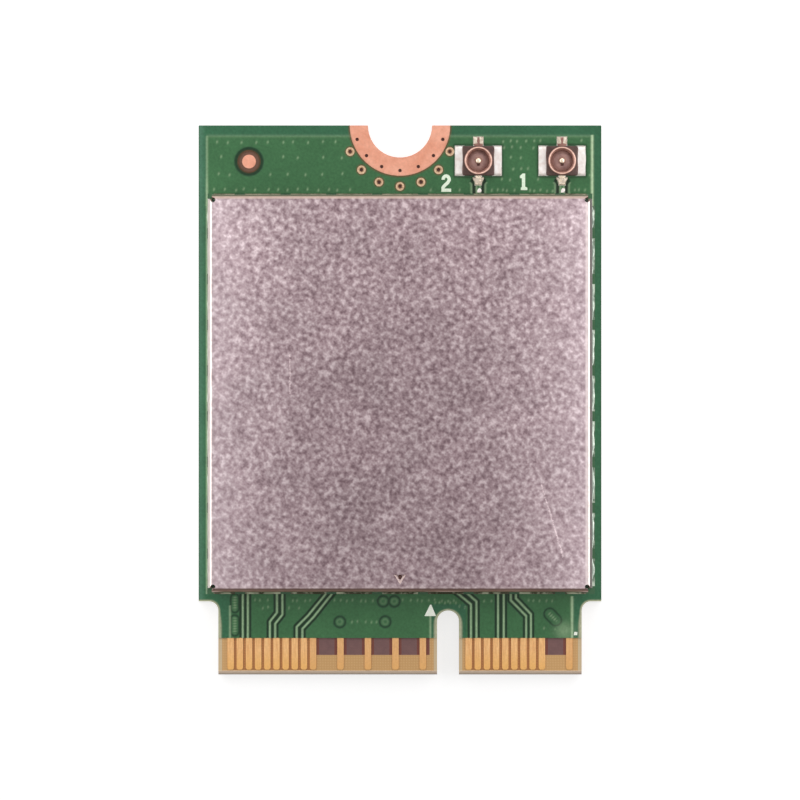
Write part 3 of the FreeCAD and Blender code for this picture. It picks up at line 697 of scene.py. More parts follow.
def edge_wear(x, y):
    """How much the mask draws back at the routed edges of the tongue, its shoulders and its key."""
    across = np.abs(x)
    near_fillet = (across > TONGUE_HALF - 0.2) & (y < SHOULDER_Y + 0.3)
    fillet = np.where(near_fillet, np.hypot(across - FILLET_X, y - FILLET_Y) - FILLET, 9)
    shoulder = np.where(across > FILLET_X, y - SHOULDER_Y, 9)
    key = np.hypot(x - KEY_X, np.maximum(y - KEY_ROUND_Y, 0)) - KEY_RADIUS
    tongue = np.where(y < FILLET_Y, TONGUE_HALF - across, 9)
    width = 0.5 + 0.5 * step(-y, 11.3, 12.4)
    d = np.minimum.reduce([tongue, fillet, shoulder, np.where(y < SHOULDER_Y, key, 9)]) / width
    return 1 - step(d, 0.08, 0.24)


def on_board(x, y):
    """Whether a place lies on the board, its notches and key left out."""
    across = np.abs(x)
    inside = (across < HALF_WIDTH) & (np.abs(y) < HALF_LENGTH)
    in_fillet = (across < FILLET_X) & (y > FILLET_Y)
    rounded = np.hypot(across - FILLET_X, y - FILLET_Y) > FILLET
    inside &= ~((y < SHOULDER_Y) & (across > TONGUE_HALF) & ~(in_fillet & rounded))
    key = (np.abs(x - KEY_X) < KEY_RADIUS) & (y < KEY_ROUND_Y)
    key |= np.hypot(x - KEY_X, y - KEY_ROUND_Y) < KEY_RADIUS
    return inside & ~key & (np.hypot(x, y - HALF_LENGTH) > SCREW_PAD_RADIUS)


def over_key(x, y):
    return y > KEY_ROUND_Y - 1e-6


def in_shoulder(x, y):
    return (np.abs(x) < FILLET_X + 1e-6) & (y > FILLET_Y - 1e-6)


BOARD_ARCS = [(0, HALF_LENGTH, SCREW_PAD_RADIUS), (KEY_X, KEY_ROUND_Y, KEY_RADIUS, over_key)]
BOARD_ARCS += [(s * FILLET_X, FILLET_Y, FILLET, in_shoulder) for s in (-1, 1)]
BOARD_ARCS += [(*place, VIA_WINDOW) for place in VIA_PLACES]


def grid_lines(low, high, pitch, special=()):
    """Evenly spaced lines that give way to the special ones."""
    count = max(1, round((high - low) / pitch))
    fixed = sorted({round(v, 5) for v in (*special, low, high) if low <= v <= high})
    even = [low + (high - low) * i / count for i in range(count + 1)]
    return np.array(sorted(fixed + [v for v in even if min(abs(v - f) for f in fixed) > 0.45 * pitch]))


def skin(name, across, along, keep, arcs, surface, base, replaces=None):
    """A closed plate of mask whose outer face follows a surface of heights, on lines across and along."""
    x, y = np.meshgrid(grid_lines(*across), grid_lines(*along), indexing="ij")
    pitch = along[2]
    kept = keep((x[:-1, :-1] + x[1:, 1:]) / 2, (y[:-1, :-1] + y[1:, 1:]) / 2)
    padded = np.pad(kept, 1)
    cells = [padded[:-1, :-1], padded[1:, :-1], padded[:-1, 1:], padded[1:, 1:]]
    border = np.any(cells, axis=0) & ~np.all(cells, axis=0)
    for cx, cy, r, *part in arcs:
        d = np.hypot(x - cx, y - cy)
        move = border & (np.abs(d - r) < 1.1 * pitch) & (d > 1e-9)
        if part:
            move &= part[0](x, y)
        x[move] = cx + (x[move] - cx) * r / d[move]
        y[move] = cy + (y[move] - cy) * r / d[move]
    height, copper, gap, rim, brown_outline = surface(x, y)
    worn = edge_wear(x, y)
    worn_height = np.where(height > base, base + 0.0056, 0.5 * (height + base))
    height = height + worn * (worn_height - height)
    total = x.size
    index = np.arange(total).reshape(x.shape)
    i, j = np.nonzero(kept)
    a, b, c, d = index[i, j], index[i + 1, j], index[i + 1, j + 1], index[i, j + 1]
    faces = [np.stack([a, b, c, d], 1), np.stack([d, c, b, a], 1) + total]
    for di, dj, p, q in ((-1, 0, d, a), (1, 0, b, c), (0, -1, a, b), (0, 1, c, d)):
        edge = ~padded[i + 1 + di, j + 1 + dj]
        faces.append(np.stack([q[edge], p[edge], p[edge] + total, q[edge] + total], 1))
    faces = np.concatenate(faces)
    if height.mean() < base:
        faces = faces[:, ::-1]
    points = np.concatenate([np.stack([x.ravel(), y.ravel(), level.ravel()], 1)
                             for level in (height, np.full(x.shape, base))])
    used, renumbered = np.unique(faces, return_inverse=True)
    made = piece(name, points[used], renumbered.reshape(faces.shape), "solder_mask", PAINTS["mask"], 0.9,
                 replaces)
    for label, values in (("copper", copper), ("gap", gap), ("rim", rim), ("brown_outline", brown_outline), ("edge", worn)):
        values = np.tile(values.ravel(), 2)[used].astype(np.float32)
        made.data.attributes.new(label, "FLOAT", "POINT").data.foreach_set("value", values)


def keep_top(x, y):
    """The mask round the shield's rear, open over the fiducial, the vias and the jacks with their lands."""
    hit = around(x, y, FIDUCIAL) < FIDUCIAL_WINDOW
    for place in VIA_PLACES:
        hit |= around(x, y, place) < VIA_WINDOW
    for jx in JACK_XS:
        dx, dy = np.abs(x - jx), y - JACK_Y
        hit |= (dx < 0.87) & (np.abs(dy) < 0.87) | (dx < 1.29) & (np.abs(dy) < 0.825)
        hit |= (dx < 0.29) & (dy > 0) & (dy < 1.33) | (dx < 0.2) & (dy < 0) & (dy > -1.35)
    return on_board(x, y) & ~hit & ((y > SHIELD_BACK) | (np.abs(x) > SHIELD_HALF_X + 0.02))


# Where the plates of mask start, where the front and rear ones end at the sides, and the pitch of each
SKIN_BASE, SKIN_END = MASK_TOP - 0.004, 10.6
TOP_PITCH, BOTTOM_PITCH = 0.055, 0.125
FRONT_PITCH, FRONT_PITCH_X, SIDE_PITCH, SIDE_PITCH_X = 0.05, 0.045, 0.1, 0.05
JACK_LINES_X = [jx + s * d for jx in JACK_XS for s in (-1, 1) for d in (0.2, 0.29, 0.87, 1.29)]
JACK_LINES_Y = [JACK_Y + d for d in (-1.35, -0.87, -0.825, 0.825, 0.87, 1.33)]
TONGUE_LINES_X = [-FILLET_X, -TONGUE_HALF, TONGUE_HALF, FILLET_X, KEY_LEFT, KEY_RIGHT]
TONGUE_LINES_Y = [SHOULDER_Y, FILLET_Y, KEY_END]
skin("mask_relief_top", (-HALF_WIDTH, HALF_WIDTH, TOP_PITCH, JACK_LINES_X),
     (SKIN_END, HALF_LENGTH, TOP_PITCH, [*JACK_LINES_Y, SHIELD_BACK]), keep_top,
     BOARD_ARCS + [(*FIDUCIAL, FIDUCIAL_WINDOW)], top_relief, SKIN_BASE)
skin("mask_relief_front", (-HALF_WIDTH, HALF_WIDTH, FRONT_PITCH_X, TONGUE_LINES_X),
     (MASK_EDGE_Y, -SKIN_END, FRONT_PITCH, TONGUE_LINES_Y), on_board, BOARD_ARCS, front_relief, SKIN_BASE)
for side, x0, x1 in (("left", -HALF_WIDTH, -10.53), ("right", 10.65, HALF_WIDTH)):
    skin(f"mask_relief_{side}", (x0, x1, SIDE_PITCH_X), (-SKIN_END, SKIN_END, SIDE_PITCH), on_board, [],
         side_relief, SKIN_BASE)


# Underside: mask with its own copper relief, test pads and tented vias

TEST_PADS = [(-3.4 + 1.9 * i, 6.5 - 1.9 * j, 0.4) for i in range(3) for j in range(2)]
BOTTOM_TRACES = []
for count, x0, pitch, y0, rise, turn, end, more in ((9, -8.4, 0.55, -5.0, -0.25, 1.6, 1.0, 0.3),
                                                    (6, 4.6, 0.6, -8.0, 0.5, -1.2, -1.0, 0.6)):
    for k in range(count):
        x, y = x0 + pitch * k, y0 + rise * k
        BOTTOM_TRACES.append([(x, -13.2), (x, y), (x + turn, y + abs(turn)), (x + turn, end + more * k)])
BOTTOM_BLOCKS = [(0, HALF_LENGTH, 3.4)] + [(*place, 0.5) for place in VIA_PLACES]
BOTTOM_BLOCKS += [(x, y, 0.8) for x, y, _ in TEST_PADS]
BOTTOM_VIAS = away_from(clear_of(via_field(13, -10.2, 10.3, -12.4, 14.2, 1.6, 1.35, 0.12), BOTTOM_BLOCKS),
                        BOTTOM_TRACES, 0.4)


def bottom_relief(x, y):
    """The whole underside, where copper stands lower than the gaps in it."""
    gap, rim, bumps = (np.zeros(x.shape) for _ in range(3))
    pour = rect(x, y, POUR_LEFT, POUR_RIGHT, -20, POUR_REAR)
    soft_line(rim, True, pour, 0.4, 0.08)
    distances = [line_distance(x, y, path) for path in BOTTOM_TRACES]
    for d in distances:
        gap = np.maximum(gap, 0.9 * (1 - step(d, 0.2, 0.3)))
    for d in distances:
        gap = gap * step(d, 0.06, 0.12)
        rim = np.maximum(rim, 0.35 * (1 - step(d, 0.02, 0.1)))
    for *place, r in TEST_PADS:
        gap = np.maximum(gap, 0.8 * (1 - step(around(x, y, place) - r, 0.12, 0.25)))
    copper = (1 - step(pour, -0.06, 0.06)) * (1 - gap)
    add_vias(x, y, BOTTOM_VIAS, bumps, rim, 0.16, 0.4)
    lift = np.maximum(0.012 * (1 - copper) - 0.4 * bumps, 0)
    return lift, copper, gap, np.clip(rim, 0, 1), np.zeros(x.shape)


def keep_bottom(x, y):
    hit = np.zeros(x.shape, bool)
    for *place, r in TEST_PADS + [(*place, VIA_RADIUS) for place in VIA_PLACES]:
        hit |= around(x, y, place) < r
    return on_board(x, y) & ~hit


skin("mask_relief_bottom", (-HALF_WIDTH, HALF_WIDTH, BOTTOM_PITCH, TONGUE_LINES_X),
     (MASK_EDGE_Y, HALF_LENGTH, BOTTOM_PITCH, TONGUE_LINES_Y), keep_bottom, BOARD_ARCS + TEST_PADS,
     bottom_relief, MASK_BOTTOM, "solder_mask_bottom")


# Ground vias as round eyelets, and dark plugs in them and in the screw pad's holes as painted shade down the
# holes

BORE, MOUTH, LIP = 0.09, 0.14, 0.012
EYELET_LOW, EYELET_TOP, PLUG_LOW = 0.015, COPPER_TOP + 0.03, 0.5
barrel = [(BORE, EYELET_LOW), (VIA_RADIUS, EYELET_LOW), (VIA_RADIUS, MASK_BOTTOM), (BORE + 0.03, MASK_BOTTOM),
          (BORE + 0.03, LAMINATE_TOP), (VIA_RADIUS, LAMINATE_TOP), (VIA_RADIUS, EYELET_TOP - LIP),
          (VIA_RADIUS - LIP, EYELET_TOP), (MOUTH + LIP, EYELET_TOP), (MOUTH, EYELET_TOP - LIP),
          (BORE, EYELET_TOP - 0.1)]
eyelets, plugs = Shape(), Shape()
for place in VIA_PLACES:
    eyelets.lathe(*place, barrel, 32)
for places, r, top in ((VIA_PLACES, 0.088, COPPER_TOP - 0.06),
                       (arc(-162, -18, 6, 2.46, 0.0, HALF_LENGTH), 0.095, COPPER_TOP - 0.05)):
    for place in places:
        tip = [(r, top), (0.05, top - 0.01), (0, top - 0.015)]
        plugs.lathe(*place, [(0, PLUG_LOW), (r, PLUG_LOW), *tip], 16)
eyelets.piece("via_eyelets", "bare_copper", PAINTS["eyelets"], replaces="ground_vias")
plugs.piece("via_plugs", "solder_mask", PAINTS["plug"])


# Shield: one folded sheet with bends, reliefs, castellated feet and a pressed arrow

SHEET, BEND, CORNER_RELIEF, CORNER_SLIT = 0.15, 0.28, 0.14, 0.05
FOOT_GAPS = [s * c for c in (1.25, 3.75, 6.25, 8.75) for s in (-1, 1)]
FOOT_GAP_HALF = 0.275
GAP_TOP = MASK_TOP + 0.22
ARROW_HALF, ARROW_TOP, ARROW_TIP, ARROW_DEPTH = 0.32, -9.52, -10.04, 0.075
FLAT_X, FLAT_Y = SHIELD_HALF_X - BEND, SHIELD_HALF_Y - BEND


def on_top(x, y):
    """A place on the top, which bows up by a hair between its bends."""
    u, v = x / FLAT_X, (y - SHIELD_Y) / FLAT_Y
    bow = 0.012 * (1 - u ** 4) * (1 - v ** 4)
    wave = 0.003 * math.sin(1.3 * x + 0.4) * math.sin(1.1 * y - 0.7) * (1 - u ** 2) * (1 - v ** 2)
    return (x, y, SHIELD_TOP - 0.016 + bow + wave)


class Sheet(Shape):
    """Points shared by place, and the faces between them."""

    def __init__(self):
        super().__init__()
        self.known = {}

    def at(self, place):
        key = tuple(round(c, 5) for c in place)
        if key not in self.known:
            self.known[key] = len(self.points)
            self.points.append(place)
        return self.known[key]

    def face(self, *places):
        corners = list(dict.fromkeys(self.at(place) for place in places))
        if len(corners) > 2:
            self.faces.append(corners)

    def cell(self, x0, x1, y0, y1):
        self.face(*(on_top(x, y) for x, y in ((x0, y0), (x1, y0), (x1, y1), (x0, y1))))


def edges(limit, *more):
    """The ends of a wall's flat and the edges of its foot gaps, and others, no more than 0.5 apart."""
    inner = [c + s * FOOT_GAP_HALF for c in FOOT_GAPS for s in (-1, 1)]
    lines = sorted([v for v in inner if abs(v) < limit] + [-limit, limit, *more])
    out = [lines[0]]
    for a, b in zip(lines, lines[1:]):
        n = max(1, round((b - a) / 0.5))
        out += [a + (b - a) * k / n for k in range(1, n + 1)]
    return out


def pressed_arrow(sheet):
    """The arrow's pit, and the top's own corners left of and right of its tip."""
    outline = [on_top(x, ARROW_TOP) for x in (-ARROW_HALF, 0, ARROW_HALF)] + [on_top(0, ARROW_TIP)]
    floor = [(x, ARROW_TOP - 0.04) for x in (-0.17, 0, 0.17)] + [(0, ARROW_TIP + 0.18)]
    low = [(x, y, SHIELD_TOP - ARROW_DEPTH) for x, y in floor]
    for s in (-1, 1):
        side = [(s * ARROW_HALF, ARROW_TIP), (0, ARROW_TIP), (s * ARROW_HALF, ARROW_TOP)][::-s]
        sheet.face(*(on_top(*place) for place in side))
    for i, j in ((0, 1), (1, 2), (2, 3), (3, 0)):
        sheet.face(outline[i], low[i], low[j], outline[j])
    sheet.face(low[0], low[3], low[1])
    sheet.face(low[1], low[3], low[2])


def corner_cells(sheet):
    """At each corner the flat ends on the relief's arc."""
    for sx in (-1, 1):
        for sy in (-1, 1):
            cx, cy, rx, ry = sx * FLAT_X, SHIELD_Y + sy * FLAT_Y, -sx * CORNER_RELIEF, -sy * CORNER_RELIEF
            loop = [(cx + rx, cy + ry)] + arc(90, 0, 6, rx, cx, cy, ry)
            sheet.face(*(on_top(*place) for place in loop[::sx * sy]))


def shield_wall(sheet, faces_x, sign, along):
    """One bend and wall, which faces along X or along Y."""
    flat, end_flat = (FLAT_X, FLAT_Y) if faces_x else (FLAT_Y, FLAT_X)
    limit, steps = end_flat - CORNER_RELIEF, 9
    rows = []
    for a in (math.pi / 2 * k / steps for k in range(steps + 1)):
        s = BEND * math.sin(a)
        open_arc = s < CORNER_RELIEF
        end = end_flat - math.sqrt(CORNER_RELIEF ** 2 - s ** 2) if open_arc else end_flat + CORNER_SLIT
        rows.append((s, SHIELD_TOP - BEND * (1 - math.cos(a)), end))
    rows += [(BEND, z, end_flat + CORNER_SLIT) for z in (1.5, GAP_TOP, MASK_TOP, COPPER_TOP)]

    def place(row, v):
        s, z, end = rows[row]
        if abs(v) > limit + 1e-6 or row == 0 and abs(v) > end:
            v = math.copysign(end, v)
        out = sign * (flat + s)
        x, y = (out, SHIELD_Y + v) if faces_x else (v, SHIELD_Y + out)
        return on_top(x, y) if row == 0 else (x, y, z)

    stations = [-limit - 0.01, *along, limit + 0.01]
    for row in range(len(rows) - 1):
        in_gaps, in_feet = rows[row][1] <= GAP_TOP + 1e-9, rows[row][1] <= MASK_TOP + 1e-9
        for va, vb in zip(stations, stations[1:]):
            middle = (va + vb) / 2
            beside = abs(middle) >= limit
            foot = not beside and not any(abs(middle - c) < FOOT_GAP_HALF for c in FOOT_GAPS)
            if in_gaps and not foot and (in_feet or not beside):
                continue
            quad = [place(row, va), place(row, vb), place(row + 1, vb), place(row + 1, va)]
            sheet.face(*(quad[::-1] if (sign > 0) == faces_x else quad))


def shield_sheet():
    """The outer face of the can: its top with the arrow, its edge cells and corners, and its walls."""
    sheet = Sheet()
    limit_x, limit_y = FLAT_X - CORNER_RELIEF, FLAT_Y - CORNER_RELIEF
    xs = edges(limit_x, -ARROW_HALF, 0, ARROW_HALF)
    ys_local = edges(limit_y, ARROW_TOP - SHIELD_Y, ARROW_TIP - SHIELD_Y)
    ys = [SHIELD_Y + v for v in ys_local]
    for xa, xb in zip(xs, xs[1:]):
        for ya, yb in zip(ys, ys[1:]):
            if abs((xa + xb) / 2) >= ARROW_HALF or not ARROW_TIP < (ya + yb) / 2 < ARROW_TOP:
                sheet.cell(xa, xb, ya, yb)
    pressed_arrow(sheet)
    for s in (-1, 1):
        for ya, yb in zip(ys, ys[1:]):
            sheet.cell(*sorted((s * FLAT_X, s * limit_x)), ya, yb)
    for s in (-1, 1):
        for xa, xb in zip(xs, xs[1:]):
            sheet.cell(xa, xb, *sorted((SHIELD_Y + s * FLAT_Y, SHIELD_Y + s * limit_y)))
    corner_cells(sheet)
    for sign in (-1, 1):
        shield_wall(sheet, True, sign, ys_local)
        shield_wall(sheet, False, sign, xs)
    return sheet


cover = shield_sheet().piece("shield_cover", "shield_metal", PAINTS["shield"])
solid = cover.modifiers.new("sheet", "SOLIDIFY")
solid.thickness = SHEET * MM
solid.offset = -1
solid.use_even_offset = True
cover_mesh = bpy.data.meshes.new_from_object(cover.evaluated_get(bpy.context.evaluated_depsgraph_get()))
cover.modifiers.clear()
cover.data = cover_mesh
smoothed(cover_mesh, 0.45)
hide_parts("shield_can")

# Painted shade: a dark disc set in the bottom of the arrow's pit.
PIT_LOW, PIT_TOP = 2.1, 2.161
pit = Shape()
pit.lathe(0, ARROW_TOP - 0.13, [(0, PIT_LOW), (0.12, PIT_LOW), (0.12, PIT_TOP - 0.004), (0.08, PIT_TOP),
                                (0, PIT_TOP)], 20)
pit.piece("arrow_pit_shade", "shield_metal", PAINTS["plug"])


# Solder fillets on the feet, each uneven

FEET_END = 10.18
foot_ends = [-FEET_END] + [c + s * FOOT_GAP_HALF for c in sorted(FOOT_GAPS) for s in (-1, 1)] + [FEET_END]
# Each side's fillets take their own tone as painted light: white at the left as a painted highlight, grey at
# the right and olive at the rear as painted shade, and dark at the front as painted shade.
FILLETS = {"left": (0.12, 0.35, "solder_left"), "right": (0.16, 0.24, "solder_right"),
           "front": (0.18, 0.16, "tinned_pads"), "back": (0.13, 0.18, "solder_back")}
chance = random.Random(7)


def wall_place(side, v, out, z):
    """A place beside a wall: v along it and out from it."""
    sign = -1 if side in ("left", "front") else 1
    if side in ("left", "right"):
        return (sign * (SHIELD_HALF_X + out), SHIELD_Y + v, z)
    return (v, SHIELD_Y + sign * (SHIELD_HALF_Y + out), z)


for side, (wide, tall, paint_name) in FILLETS.items():
    fillets = Shape()
    for start, finish in zip(foot_ends[::2], foot_ends[1::2]):
        phase = chance.uniform(0, 6)
        lumps = [chance.uniform(0.55, 1.0) for _ in range(4)]
        sections = []
        for t in (k / 15 for k in range(16)):
            lump = lumps[min(int(t * 4), 3)] * (1 + 0.15 * math.sin(9 * t + phase))
            ease = math.sin(math.pi * min(max(t, 0.02), 0.98)) ** 0.35
            w, h = max(wide * lump * ease, 0.012), max(tall * lump * ease, 0.012)
            v = start + 0.02 + (finish - start - 0.04) * t
            sections.append([wall_place(side, v, out, COPPER_TOP + z)
                             for out, z in [(-0.004, 0), *arc(90, 180, 4, w, w, h, -h), (-0.004, h)]])
        fillets.loft([s[::-1] for s in sections] if side in ("left", "back") else sections)
    fillets.piece(f"foot_fillets_{side}", "solder", PAINTS[paint_name], 1.0,
                  "shield_solder" if side == "left" else None)


# Antenna jacks


def solder_pool(shape, low, high, crown, seed, side_power=40):
    """A lumpy cushion of solder over a land, between two (x0, x1, y) ends, thin at its edge."""
    chance = random.Random(seed)
    n = 18
    phase = [chance.uniform(0, 6) for _ in range(4)]
    points, faces = [], []
    for i in range(n + 1):
        for j in range(n + 1):
            u, v = i / n, j / n
            x0, x1, y = (a + (b - a) * v for a, b in zip(low, high))
            edge = (1 - (2 * u - 1) ** side_power) * (1 - (2 * v - 1) ** side_power)
            lump = 0.88 + 0.08 * math.sin(7 * u + phase[0]) * math.cos(6 * v + phase[1])
            lump += 0.04 * math.sin(11 * v + phase[2])
            wobble = 0.012 * math.sin(9 * v + phase[3]) * (2 * u - 1)
            points.append((x0 + (x1 - x0) * u + wobble, y, SEAT - 0.004 + crown * edge * lump))
    total = len(points)
    points += [(x, y, SEAT - 0.02) for x, y, _ in points]
    for i in range(n):
        for j in range(n):
            a, b, c, d = (p * (n + 1) + q for p, q in ((i, j), (i + 1, j), (i + 1, j + 1), (i, j + 1)))
            faces += [(a, b, c, d), (d + total, c + total, b + total, a + total)]
    for i in range(n):
        for a, b in (((i + 1) * (n + 1), i * (n + 1)), (i * (n + 1) + n, (i + 1) * (n + 1) + n),
                     (i, i + 1), (n * (n + 1) + i + 1, n * (n + 1) + i)):
            faces.append((a, b, b + total, a + total))
    shape.add(points, faces)


def both(middle, half):
    """The ends of a span about its middle."""
    return middle - half, middle + half


# The jacks' feet, rear foot, front lead and moulding, by their reach from each jack's middle
FOOT_IN, FOOT_OUT, FOOT_HALF, TAIL_IN, TAIL_OUT, TAIL_HALF = 0.7, 1.24, 0.7, 0.62, 1.28, 0.24
LEAD_END, BODY_HALF_X, BODY_HALF_Y, BODY_HEIGHT = 1.3, 0.85, 0.81, 0.2
SIDE_LAND_IN, SIDE_LAND_OUT = 0.845, 1.285

# Radius and height of the rings and of the mouldings' floors, and the size of the centre posts
RING = [(RING_IN, SEAT + 0.2), (RING_OUT - 0.02, SEAT + 0.16), (RING_OUT - 0.05, SEAT + 0.26)]
RING += [(RING_OUT - inset, RIM - down) for inset, down in (
    (0.055, 0.25), (0.02, 0.19), (0, 0.14), (0, 0.05), (0.012, 0.022), (0.035, 0.006), (0.06, 0),
    (0.085, 0.004), (0.11, 0.02))]
RING += [(RING_IN + 0.045, RIM - 0.07), (RING_IN + 0.01, RIM - 0.1), (RING_IN, RIM - 0.13)]
MOULDED = [(r, SEAT + up) for r, up in ((0.15, 0.19), (RING_IN, 0.19), (RING_IN, 0.21), (0.52, 0.215),
                                        (0.46, 0.26), (0.3, 0.28), (0.2, 0.275), (0.15, 0.25))]
POST, POST_TOP, LEAD = 0.15, MASK_TOP + 0.48, (SEAT, SEAT + 0.08)
DOME = arc(0, 72, 4, POST, 0.0, POST_TOP - 0.08, 0.08)
side_pools, lead_pools = Shape(), Shape()
for number, jx in enumerate(JACK_XS, 1):
    ring, post, base, dark_spot = Shape(), Shape(), Shape(), Shape()
    ring.lathe(jx, JACK_Y, RING, 72)
    for foot in ((jx - FOOT_OUT, jx - FOOT_IN), (jx + FOOT_IN, jx + FOOT_OUT)):
        ring.block(foot, both(JACK_Y, FOOT_HALF), LEAD, 0.03)
    ring.block(both(jx, TAIL_HALF), (JACK_Y + TAIL_IN, JACK_Y + TAIL_OUT), LEAD, 0.03)
    post.lathe(jx, JACK_Y, [(0, SEAT), (POST, SEAT), *DOME, (0, POST_TOP)], 40)
    post.block(both(jx, POST), (JACK_Y - LEAD_END, JACK_Y - 0.1), LEAD, 0.025)
    base.block(both(jx, BODY_HALF_X), both(JACK_Y, BODY_HALF_Y), (SEAT, SEAT + BODY_HEIGHT), 0.06)
    base.lathe(jx, JACK_Y, MOULDED, 64)
    # A dark spot on the moulding's floor in front of the post.
    dark_spot.block(both(jx, 0.09), (JACK_Y - 0.3, JACK_Y - 0.14), (SEAT + 0.24, SEAT + 0.283), 0.02)
    jack, replaced = f"jack_{number}", f"antenna_jack_{number}"
    ring.piece(jack + "_contact_ring", "jack_metal", PAINTS["jack_metal"], 0.8, replaced + "_shell")
    post.piece(jack + "_centre_post", "jack_metal", PAINTS["post"], 0.8, replaced + "_pin")
    base.piece(jack + "_moulding", "jack_plastic", PAINTS["jack_plastic"], 0.6, replaced + "_housing")
    dark_spot.piece(jack + "_dark_spot_before_post", "jack_plastic", PAINTS["plug"])
    ragged = 0.02 if number == 1 else 0.0
    seed = 10 * number
    for s, x0, x1 in ((-1, jx - SIDE_LAND_OUT, jx - SIDE_LAND_IN),
                      (1, jx + SIDE_LAND_IN, jx + SIDE_LAND_OUT + ragged)):
        ends = [(x0, x1, y) for y in both(JACK_Y, BODY_HALF_Y)]
        solder_pool(side_pools, *ends, 0.12, seed + s)
    for x0, x1, more in ((jx - 0.28, jx - 0.03, 3), (jx + 0.04, jx + 0.28, 4)):
        solder_pool(lead_pools, (x0, x1, JACK_Y + 0.86), (x0, x1, JACK_Y + 1.33), 0.115, seed + more, 6)
    solder_pool(lead_pools, (*both(jx, 0.17), JACK_Y - 1.34), (*both(jx, 0.33), JACK_Y - 0.88), 0.1,
                seed + 5, 6)
    solder_pool(side_pools, (jx - 0.12, jx + 0.16, 11.3), (jx - 0.02, jx + 0.16, 11.6), 0.03, seed + 6, 4)
side_pools.piece("jack_side_solder", "solder", PAINTS["tin"], 1.0)
lead_pools.piece("jack_lead_solder", "solder", PAINTS["tin_dull"], 1.0)


# White print: the jacks' numerals, the triangle beside the key and a dot

PRINT_LEVELS = (MASK_TOP + 0.018, MASK_TOP + 0.04)
STROKE = 0.18

# Outlines and paths of the print, measured on the picture
NUMERAL_1 = [(522.7, 194.0), (529.4, 194.0), (529.4, 191.7), (527.2, 190.6), (527.2, 177.7), (524.6, 177.7),
             (521.8, 180.0), (521.8, 182.2), (523.8, 182.4), (523.8, 190.6), (522.7, 191.7)]
NUMERAL_2 = arc(-185, 15, 10, 3.1, 446.7, 183.6, 3.5)
NUMERAL_2 += [(448.3, 186.7), (444.7, 189.9), (443.5, 191.6), (443.5, 194.1), (451.8, 194.1)]
TRIANGLE = [(424.6, 612.4), (436.4, 612.4), (431.6, 601.2), (430.4, 601.2)]
DOT = [(576.6, 631.2), (580.2, 631.2), (580.4, 628.2), (577.2, 627.8)]


def prism(shape, outline):
    shape.loft([[(x, y, z) for x, y in outline] for z in PRINT_LEVELS])


def ribbon(shape, path, width):
    """A printed line of constant width along a path, mitred at its corners."""
    path = [Vector(place) for place in path]
    steps = [(b - a).normalized() for a, b in zip(path, path[1:])]
    left, right = [], []
    for place, into, out in zip(path, steps[:1] + steps, steps + steps[-1:]):
        across = (into + out).normalized()
        across = Vector((-across.y, across.x)) / max(across.dot(into), 0.4) * (width / 2)
        left.append(place + across)
        right.append(place - across)
    for k in range(len(steps)):
        prism(shape, [right[k], right[k + 1], left[k + 1], left[k]])


one, two, marks = Shape(), Shape(), Shape()
prism(one, from_picture(NUMERAL_1))
ribbon(two, from_picture(NUMERAL_2), STROKE)
for outline in (TRIANGLE, DOT):
    prism(marks, from_picture(outline))
one.piece("print_numeral_1", "solder_mask", PAINTS["print"])
two.piece("print_numeral_2", "solder_mask", PAINTS["print"])
marks.piece("print_arrow_and_dot", "solder_mask", PAINTS["print_front"])


# Floor, lamps, camera

FLOOR_HALF, FLOOR_Z = 0.6, -0.00003
CAMERA_DISTANCE, FOCUS_Z, SENSOR = 0.45, 0.001, 36.0
VIEW_WIDTH = 800 / 18.31 * MM


def seen_rays(tree):
    """1 where the camera, a reflection or a view through glass looks, and 0 for light on the object."""
    rays = [node(tree, "LightPath", f"Is {kind} Ray", {}) for kind in ("Camera", "Glossy", "Transmission")]
    return rays[0] | rays[1] | rays[2]


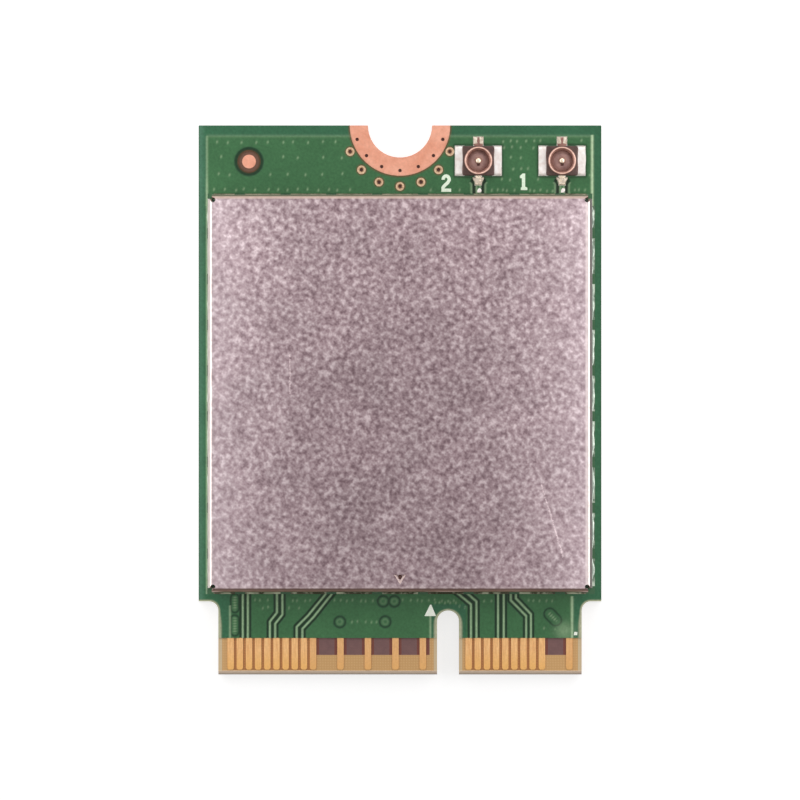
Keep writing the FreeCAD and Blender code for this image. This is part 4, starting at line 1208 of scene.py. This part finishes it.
floor_mesh = bpy.data.meshes.new("floor")
corners = ((-1, -1), (1, -1), (1, 1), (-1, 1))
floor_mesh.from_pydata([(x * FLOOR_HALF, y * FLOOR_HALF, FLOOR_Z) for x, y in corners], [], [(0, 1, 2, 3)])
floor = bpy.data.objects.new("floor", floor_mesh)
bpy.context.scene.collection.objects.link(floor)
paint = Paint("pale_floor", roughness=0.9, specular=0.1)
paint.put("Base Color", paint.mottle(paint.noise(0.02), 0.44, 0.46))
glow = paint.node("Emission", 0, {"Strength": seen_rays(paint.tree) * 0.72})
lit = paint.node("AddShader", 0, {0: Value(paint.shader.outputs[0]), 1: glow})
paint.tree.links.new(lit.socket, paint.tree.nodes["Material Output"].inputs["Surface"])
floor_mesh.materials.append(paint.material)

world = bpy.data.worlds.new("studio")
bpy.context.scene.world = world
world.use_nodes = True
tree, background = world.node_tree, world.node_tree.nodes["Background"]
tree.links.new(seen_rays(tree).span(0.0, 1.0, 0.5, 1.0).socket, background.inputs["Strength"])
direction = node(tree, "TexCoord", "Generated", {})
shade = (0.2, 0.16, 0.15, 1)
for fac in (node(tree, "SeparateXYZ", 1, {0: direction}).span(-0.85, -0.35),
            node(tree, "LightPath", "Is Camera Ray", {})):
    shade = node(tree, "Mix", 2, {0: fac, 6: shade, 7: (1, 1, 1, 1)}, data_type="RGBA")
tree.links.new(shade.socket, background.inputs["Color"])


def softbox(name, place, size_x, size_y, power, colour):
    data = bpy.data.lights.new(name, "AREA")
    data.shape = "RECTANGLE"
    data.size, data.size_y = size_x * MM, size_y * MM
    data.energy = power
    data.color = colour
    obj = bpy.data.objects.new(name, data)
    obj.location = Vector(place) * MM
    obj.rotation_euler = (-Vector(place)).to_track_quat("-Z", "Y").to_euler()
    obj.visible_camera = False
    bpy.context.scene.collection.objects.link(obj)


softbox("softbox_left", (-27, 4, 17), 44, 10, 0.0045, (1.0, 0.985, 0.98))
softbox("softbox_right", (27, 4, 18), 44, 10, 0.0045, (1.0, 0.97, 0.98))
softbox("softbox_back", (0, 36, 22), 44, 12, 0.0035, (1.0, 0.98, 0.985))

camera_data = bpy.data.cameras.new("camera")
camera_data.sensor_width = SENSOR
camera_data.lens = SENSOR * CAMERA_DISTANCE / VIEW_WIDTH
camera_data.clip_start, camera_data.clip_end = 0.01, 5.0
camera = bpy.data.objects.new("camera", camera_data)
bpy.context.scene.collection.objects.link(camera)
camera.location = (0.0, 0.0, CAMERA_DISTANCE + FOCUS_Z)
bpy.context.scene.camera = camera
bpy.context.scene.view_settings.view_transform = "Standard"
